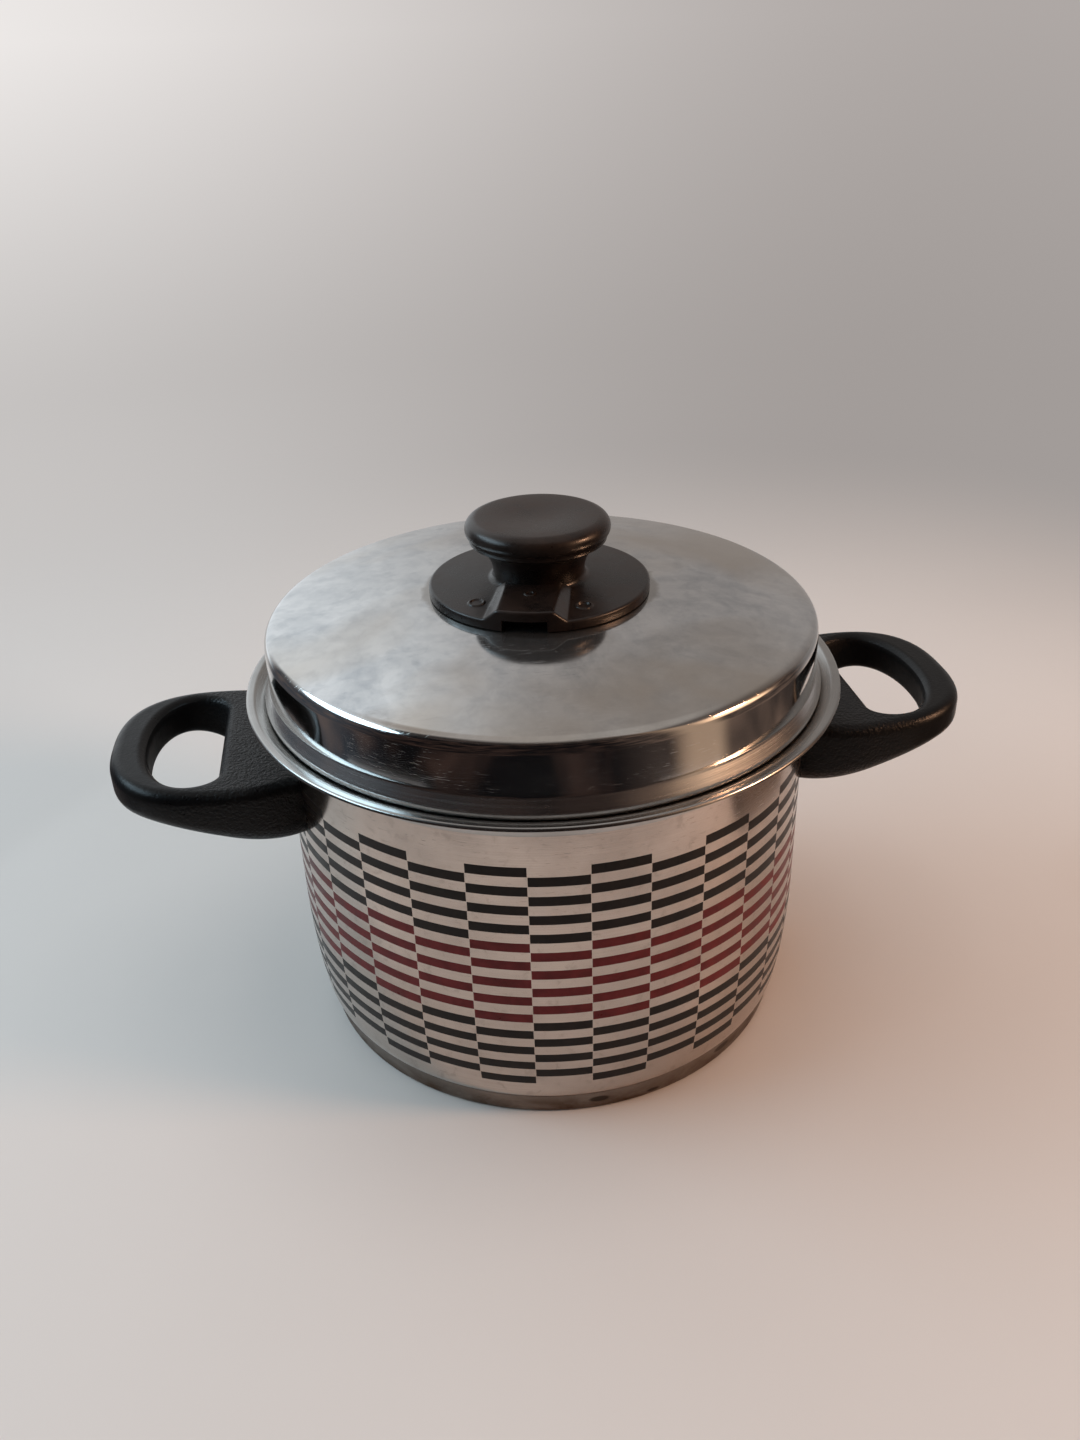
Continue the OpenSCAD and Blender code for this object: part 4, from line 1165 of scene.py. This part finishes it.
class KETTLE_OT_vent_knob(bpy.types.Operator):
    """Moulds the knob: head, neck, flange, steam channel and ring marks"""
    bl_idname = "kettle.vent_knob"
    bl_label = "Vent knob"

    def execute(self, context):
        p, lid, pot = context.scene.kettle_knob, context.scene.kettle_lid, context.scene.kettle_pot
        finish = knob_moulding(p.body, p.worn, pot.rim_z + lid.dome_up + p.height, p.head_r)
        head = turned("knob_head", head_profile(p, lid, pot), [finish], steps=256)
        rings = flange_rings(p, lid, pot)
        points = [q for ring in rings for q in ring]
        flange = finish_mesh("knob_flange", points, loop_faces(rings), [finish], tidy=False)
        work = bmesh.new()
        work.from_mesh(head.data)
        work.from_mesh(flange.data)
        bmesh.ops.rotate(work, cent=(0, 0, 0), matrix=Matrix.Rotation(p.heading, 3, "Z"), verts=work.verts)
        work.to_mesh(head.data)
        work.free()
        bpy.data.objects.remove(flange, do_unlink=True)
        head.name = head.data.name = "knob_visual"
        smooth(head)
        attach(head, "knob")
        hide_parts("knob")
        return {"FINISHED"}


class KETTLE_OT_side_handles(bpy.types.Operator):
    """Moulds the two loop handles, with the bores for their screws"""
    bl_idname = "kettle.side_handles"
    bl_label = "Side handles"

    def execute(self, context):
        p = context.scene.kettle_handles
        rings = handle_rings(p)
        finishes = [handle_moulding("handle_moulding", p.moulding, p.rubbed, shine=0.2, dull=0.0),
                    handle_moulding("hole_moulding", p.moulding, p.rubbed, shine=0.1, dull=0.3)]
        hole_mid = (p.loop_from + p.reach - p.bar_tip) / 2

        def pick(face):
            """The upright walls of the finger hole, or the rest."""
            x, y, z = face.center
            to_hole = face.normal.x * (math.copysign(hole_mid, x) - x) - face.normal.y * y
            return 1 if abs(face.normal.z) < 0.6 and to_hole > 0 and abs(x) > p.loop_from - p.edge_r else 0

        for side, way in (("right", 1), ("left", -1)):
            points = [(way * x, way * y, z) for ring in rings for x, y, z in ring]
            handle = finish_mesh(f"handle_{side}_visual", points, loop_faces(rings), finishes, pick)
            start = (way * (p.loop_from - p.bore_depth), 0, p.bore_z)
            cut(handle, plug(p.bore_r, p.bore_depth + 4 * MM, start, (way, 0, 0)))
            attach(handle, "pot")
            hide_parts(f"handle_{side}")
        return {"FINISHED"}


class KETTLE_OT_fastenings(bpy.types.Operator):
    """Gives the brackets, screws, washers, insert and base disc their metals"""
    bl_idname = "kettle.fastenings"
    bl_label = "Fastenings"

    def execute(self, context):
        bright = plated("screw_plating", (0.66, 0.66, 0.66), 0.16, 0.3)
        strip = plated("bracket_strip", (0.52, 0.51, 0.5), 0.3, 0.45)
        brass = plated("insert_brass_finish", (0.72, 0.52, 0.24), 0.22, 0.36)
        cast = plated("disc_aluminium", (0.7, 0.7, 0.7), 0.42, 0.55)
        finishes = {"base_core": cast, "knob_insert": brass, "knob_screw": bright, "knob_washer": bright,
                    "spring_washer": bright}
        for side in ("left", "right"):
            finishes[f"bracket_{side}"] = strip
            finishes[f"handle_screw_{side}"] = bright
            finishes[f"lock_washer_{side}"] = bright
        for node, finish in finishes.items():
            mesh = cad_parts[node].data
            mesh.materials.clear()
            mesh.materials.append(finish)
        return {"FINISHED"}


class KETTLE_OT_studio(bpy.types.Operator):
    """Sets the floor and its cove, the lights, the reflected card and the camera"""
    bl_idname = "kettle.studio"
    bl_label = "Studio"

    def execute(self, context):
        p = context.scene.kettle_studio
        self.floor(p)
        self.card(p)
        self.sky(p, context.scene)
        self.lamps()
        self.camera(p, context.scene)
        context.scene.view_settings.view_transform = "Standard"
        return {"FINISHED"}

    def sheet(self, name, path, low, high, steps, finish):
        """A surface turned about the Z axis from a path, between two headings in degrees from the front."""
        points, rows = [], len(path)
        for i in range(steps + 1):
            a = math.radians(low + (high - low) * i / steps)
            points += [(r * math.sin(a), -r * math.cos(a), z) for r, z in path]
        faces = [(i * rows + j, i * rows + j + 1, (i + 1) * rows + j + 1, (i + 1) * rows + j)
                 for i in range(steps) for j in range(rows - 1)]
        mesh = bpy.data.meshes.new(name)
        mesh.from_pydata(points, [], faces)
        mesh.materials.append(finish)
        mesh.polygons.foreach_set("use_smooth", [True] * len(mesh.polygons))
        piece = placed(name, mesh)
        return piece

    def floor(self, p):
        """A round floor that goes over into a backdrop; only the camera sees the backdrop."""
        paint = floor_with_painted_backdrop_light(p.floor, p.backdrop_painted_light, p.backdrop_painted_shade, 0.29 * p.floor_r, 0.72 * p.floor_r)
        self.sheet("floor", [(r * p.floor_r, 0.0) for r in (0.0001, 0.2, 0.5, 1.0)], 0, 360, 96, paint)
        path = arc((p.floor_r, p.cove_bend), p.cove_bend, -90, 0, 16)
        path.append((p.floor_r + p.cove_bend, p.cove_h))
        backdrop = self.sheet("backdrop", path, 0, 360, 96, paint)
        backdrop.visible_diffuse = backdrop.visible_glossy = backdrop.visible_shadow = False

    def card(self, p):
        """A dark curved card round the front, from the floor up and over, that only bright faces see: a
        painted reflection of a dark room, with a painted warm highlight.
        """
        low, high = -142, 112
        start, above_floor = 0.7 * p.card_near, 2 * MM
        path = [(start + (p.card_far - start) * i / 8, above_floor) for i in range(9)]
        path += [(far * p.card_far, high_up * p.card_tall)
                 for far, high_up in ((1.0, 1.0), (0.7, 1.3), (0.2, 1.5))]
        card = self.sheet("card_front", path, low, high, 60, painted_reflection_card(low, high, p.card_near))
        card.visible_camera = card.visible_diffuse = card.visible_shadow = False

    def sky(self, p, scene):
        """Soft light: bright at the back on the left, dim on the right, dark in front."""
        world = bpy.data.worlds.new("studio_sky")
        scene.world = world
        world.use_nodes = True
        f = Nodes(world.node_tree, "Generated")
        x, y, z = f.parts()
        way = f.sum("ARCTAN2", x, y)
        tone = f.blend(f.swing(way, -16, 11), p.sky_bright, p.sky_dim)
        tone = f.blend(f.swing(way, 30, 95), tone, p.sky_front)
        tone = f.blend(f.swing(way, -75, -125), tone, p.sky_front)
        tone = f.blend(f.spread(z, 0.70, 0.9, soft=True), tone, p.sky_top)
        f.feed(f.one("BACKGROUND").inputs["Color"], tone)

    # Name, place, aim, width and height in metres, power in watts, and colour
    soft_lamps = (("lamp_key", (1.20, -0.46, 0.75), (0, 0, 0.05), 0.34, 0.2, 9.6, (1.0, 0.54, 0.32)),
                  ("lamp_window", (-1.05, 0.10, 0.85), (0, 0, 0.05), 1.1, 0.5, 7.5, (0.62, 0.85, 1.0)),
                  ("lamp_top", (0.20, -0.05, 1.5), (0.05, 0, 0), 0.9, 0.9, 3.2, (1.0, 0.93, 0.90)))

    def lamps(self):
        """A warm lamp on the right, a cool window on the left, and one above that no metal mirrors."""
        for name, place, aim, wide, tall, power_w, tint in self.soft_lamps:
            data = bpy.data.lights.new(name, "AREA")
            data.shape = "ELLIPSE"
            data.size, data.size_y = wide, tall
            data.energy = power_w
            data.color = tint
            lamp = placed(name, data)
            lamp.location = place
            lamp.rotation_euler = (Vector(aim) - Vector(place)).to_track_quat("-Z", "Y").to_euler()
            lamp.visible_glossy = name != "lamp_top"

    def camera(self, p, scene):
        """The camera, turned by its heading from +Y, its pitch below level and its roll."""
        level = Vector((math.cos(p.camera_heading), -math.sin(p.camera_heading), 0))
        ahead = Vector((math.sin(p.camera_heading) * math.cos(p.camera_pitch),
                        math.cos(p.camera_heading) * math.cos(p.camera_pitch), -math.sin(p.camera_pitch)))
        above = level.cross(ahead)
        right = math.cos(p.camera_roll) * level + math.sin(p.camera_roll) * above
        up = -math.sin(p.camera_roll) * level + math.cos(p.camera_roll) * above
        data = bpy.data.cameras.new("camera")
        data.sensor_fit = "AUTO"
        data.sensor_width = 36
        data.lens = p.lens
        turn = Matrix((right, up, -ahead)).transposed().to_4x4()
        scene.camera = placed("camera", data)
        scene.camera.matrix_world = Matrix.Translation(p.camera_place) @ turn


class KETTLE_PT_panel(bpy.types.Panel):
    """Lists the pot's pieces and the studio in the sidebar"""
    bl_idname = "KETTLE_PT_panel"
    bl_label = "Stock pot"
    bl_space_type = "VIEW_3D"
    bl_region_type = "UI"
    bl_category = "Stock pot"

    def draw(self, context):
        for operator in OPERATORS:
            self.layout.operator(operator.bl_idname)


SETTINGS = (("kettle_pot", PotSettings), ("kettle_lid", LidSettings), ("kettle_knob", KnobSettings),
            ("kettle_handles", HandleSettings), ("kettle_studio", StudioSettings))
OPERATORS = (KETTLE_OT_pot_body, KETTLE_OT_wall_print, KETTLE_OT_base, KETTLE_OT_lid, KETTLE_OT_vent_knob,
             KETTLE_OT_side_handles, KETTLE_OT_fastenings, KETTLE_OT_studio)


def register():
    for name, group in SETTINGS:
        bpy.utils.register_class(group)
        setattr(bpy.types.Scene, name, bpy.props.PointerProperty(type=group))
    for item in (*OPERATORS, KETTLE_PT_panel):
        bpy.utils.register_class(item)


def unregister():
    for item in (KETTLE_PT_panel, *reversed(OPERATORS)):
        bpy.utils.unregister_class(item)
    for name, group in reversed(SETTINGS):
        delattr(bpy.types.Scene, name)
        bpy.utils.unregister_class(group)


def main():
    register()
    bpy.ops.kettle.pot_body()
    bpy.ops.kettle.wall_print()
    bpy.ops.kettle.base()
    bpy.ops.kettle.lid()
    bpy.ops.kettle.vent_knob()
    bpy.ops.kettle.side_handles()
    bpy.ops.kettle.fastenings()
    bpy.ops.kettle.studio()
    bpy.context.view_layer.update()


if __name__ == "__main__":
    main()
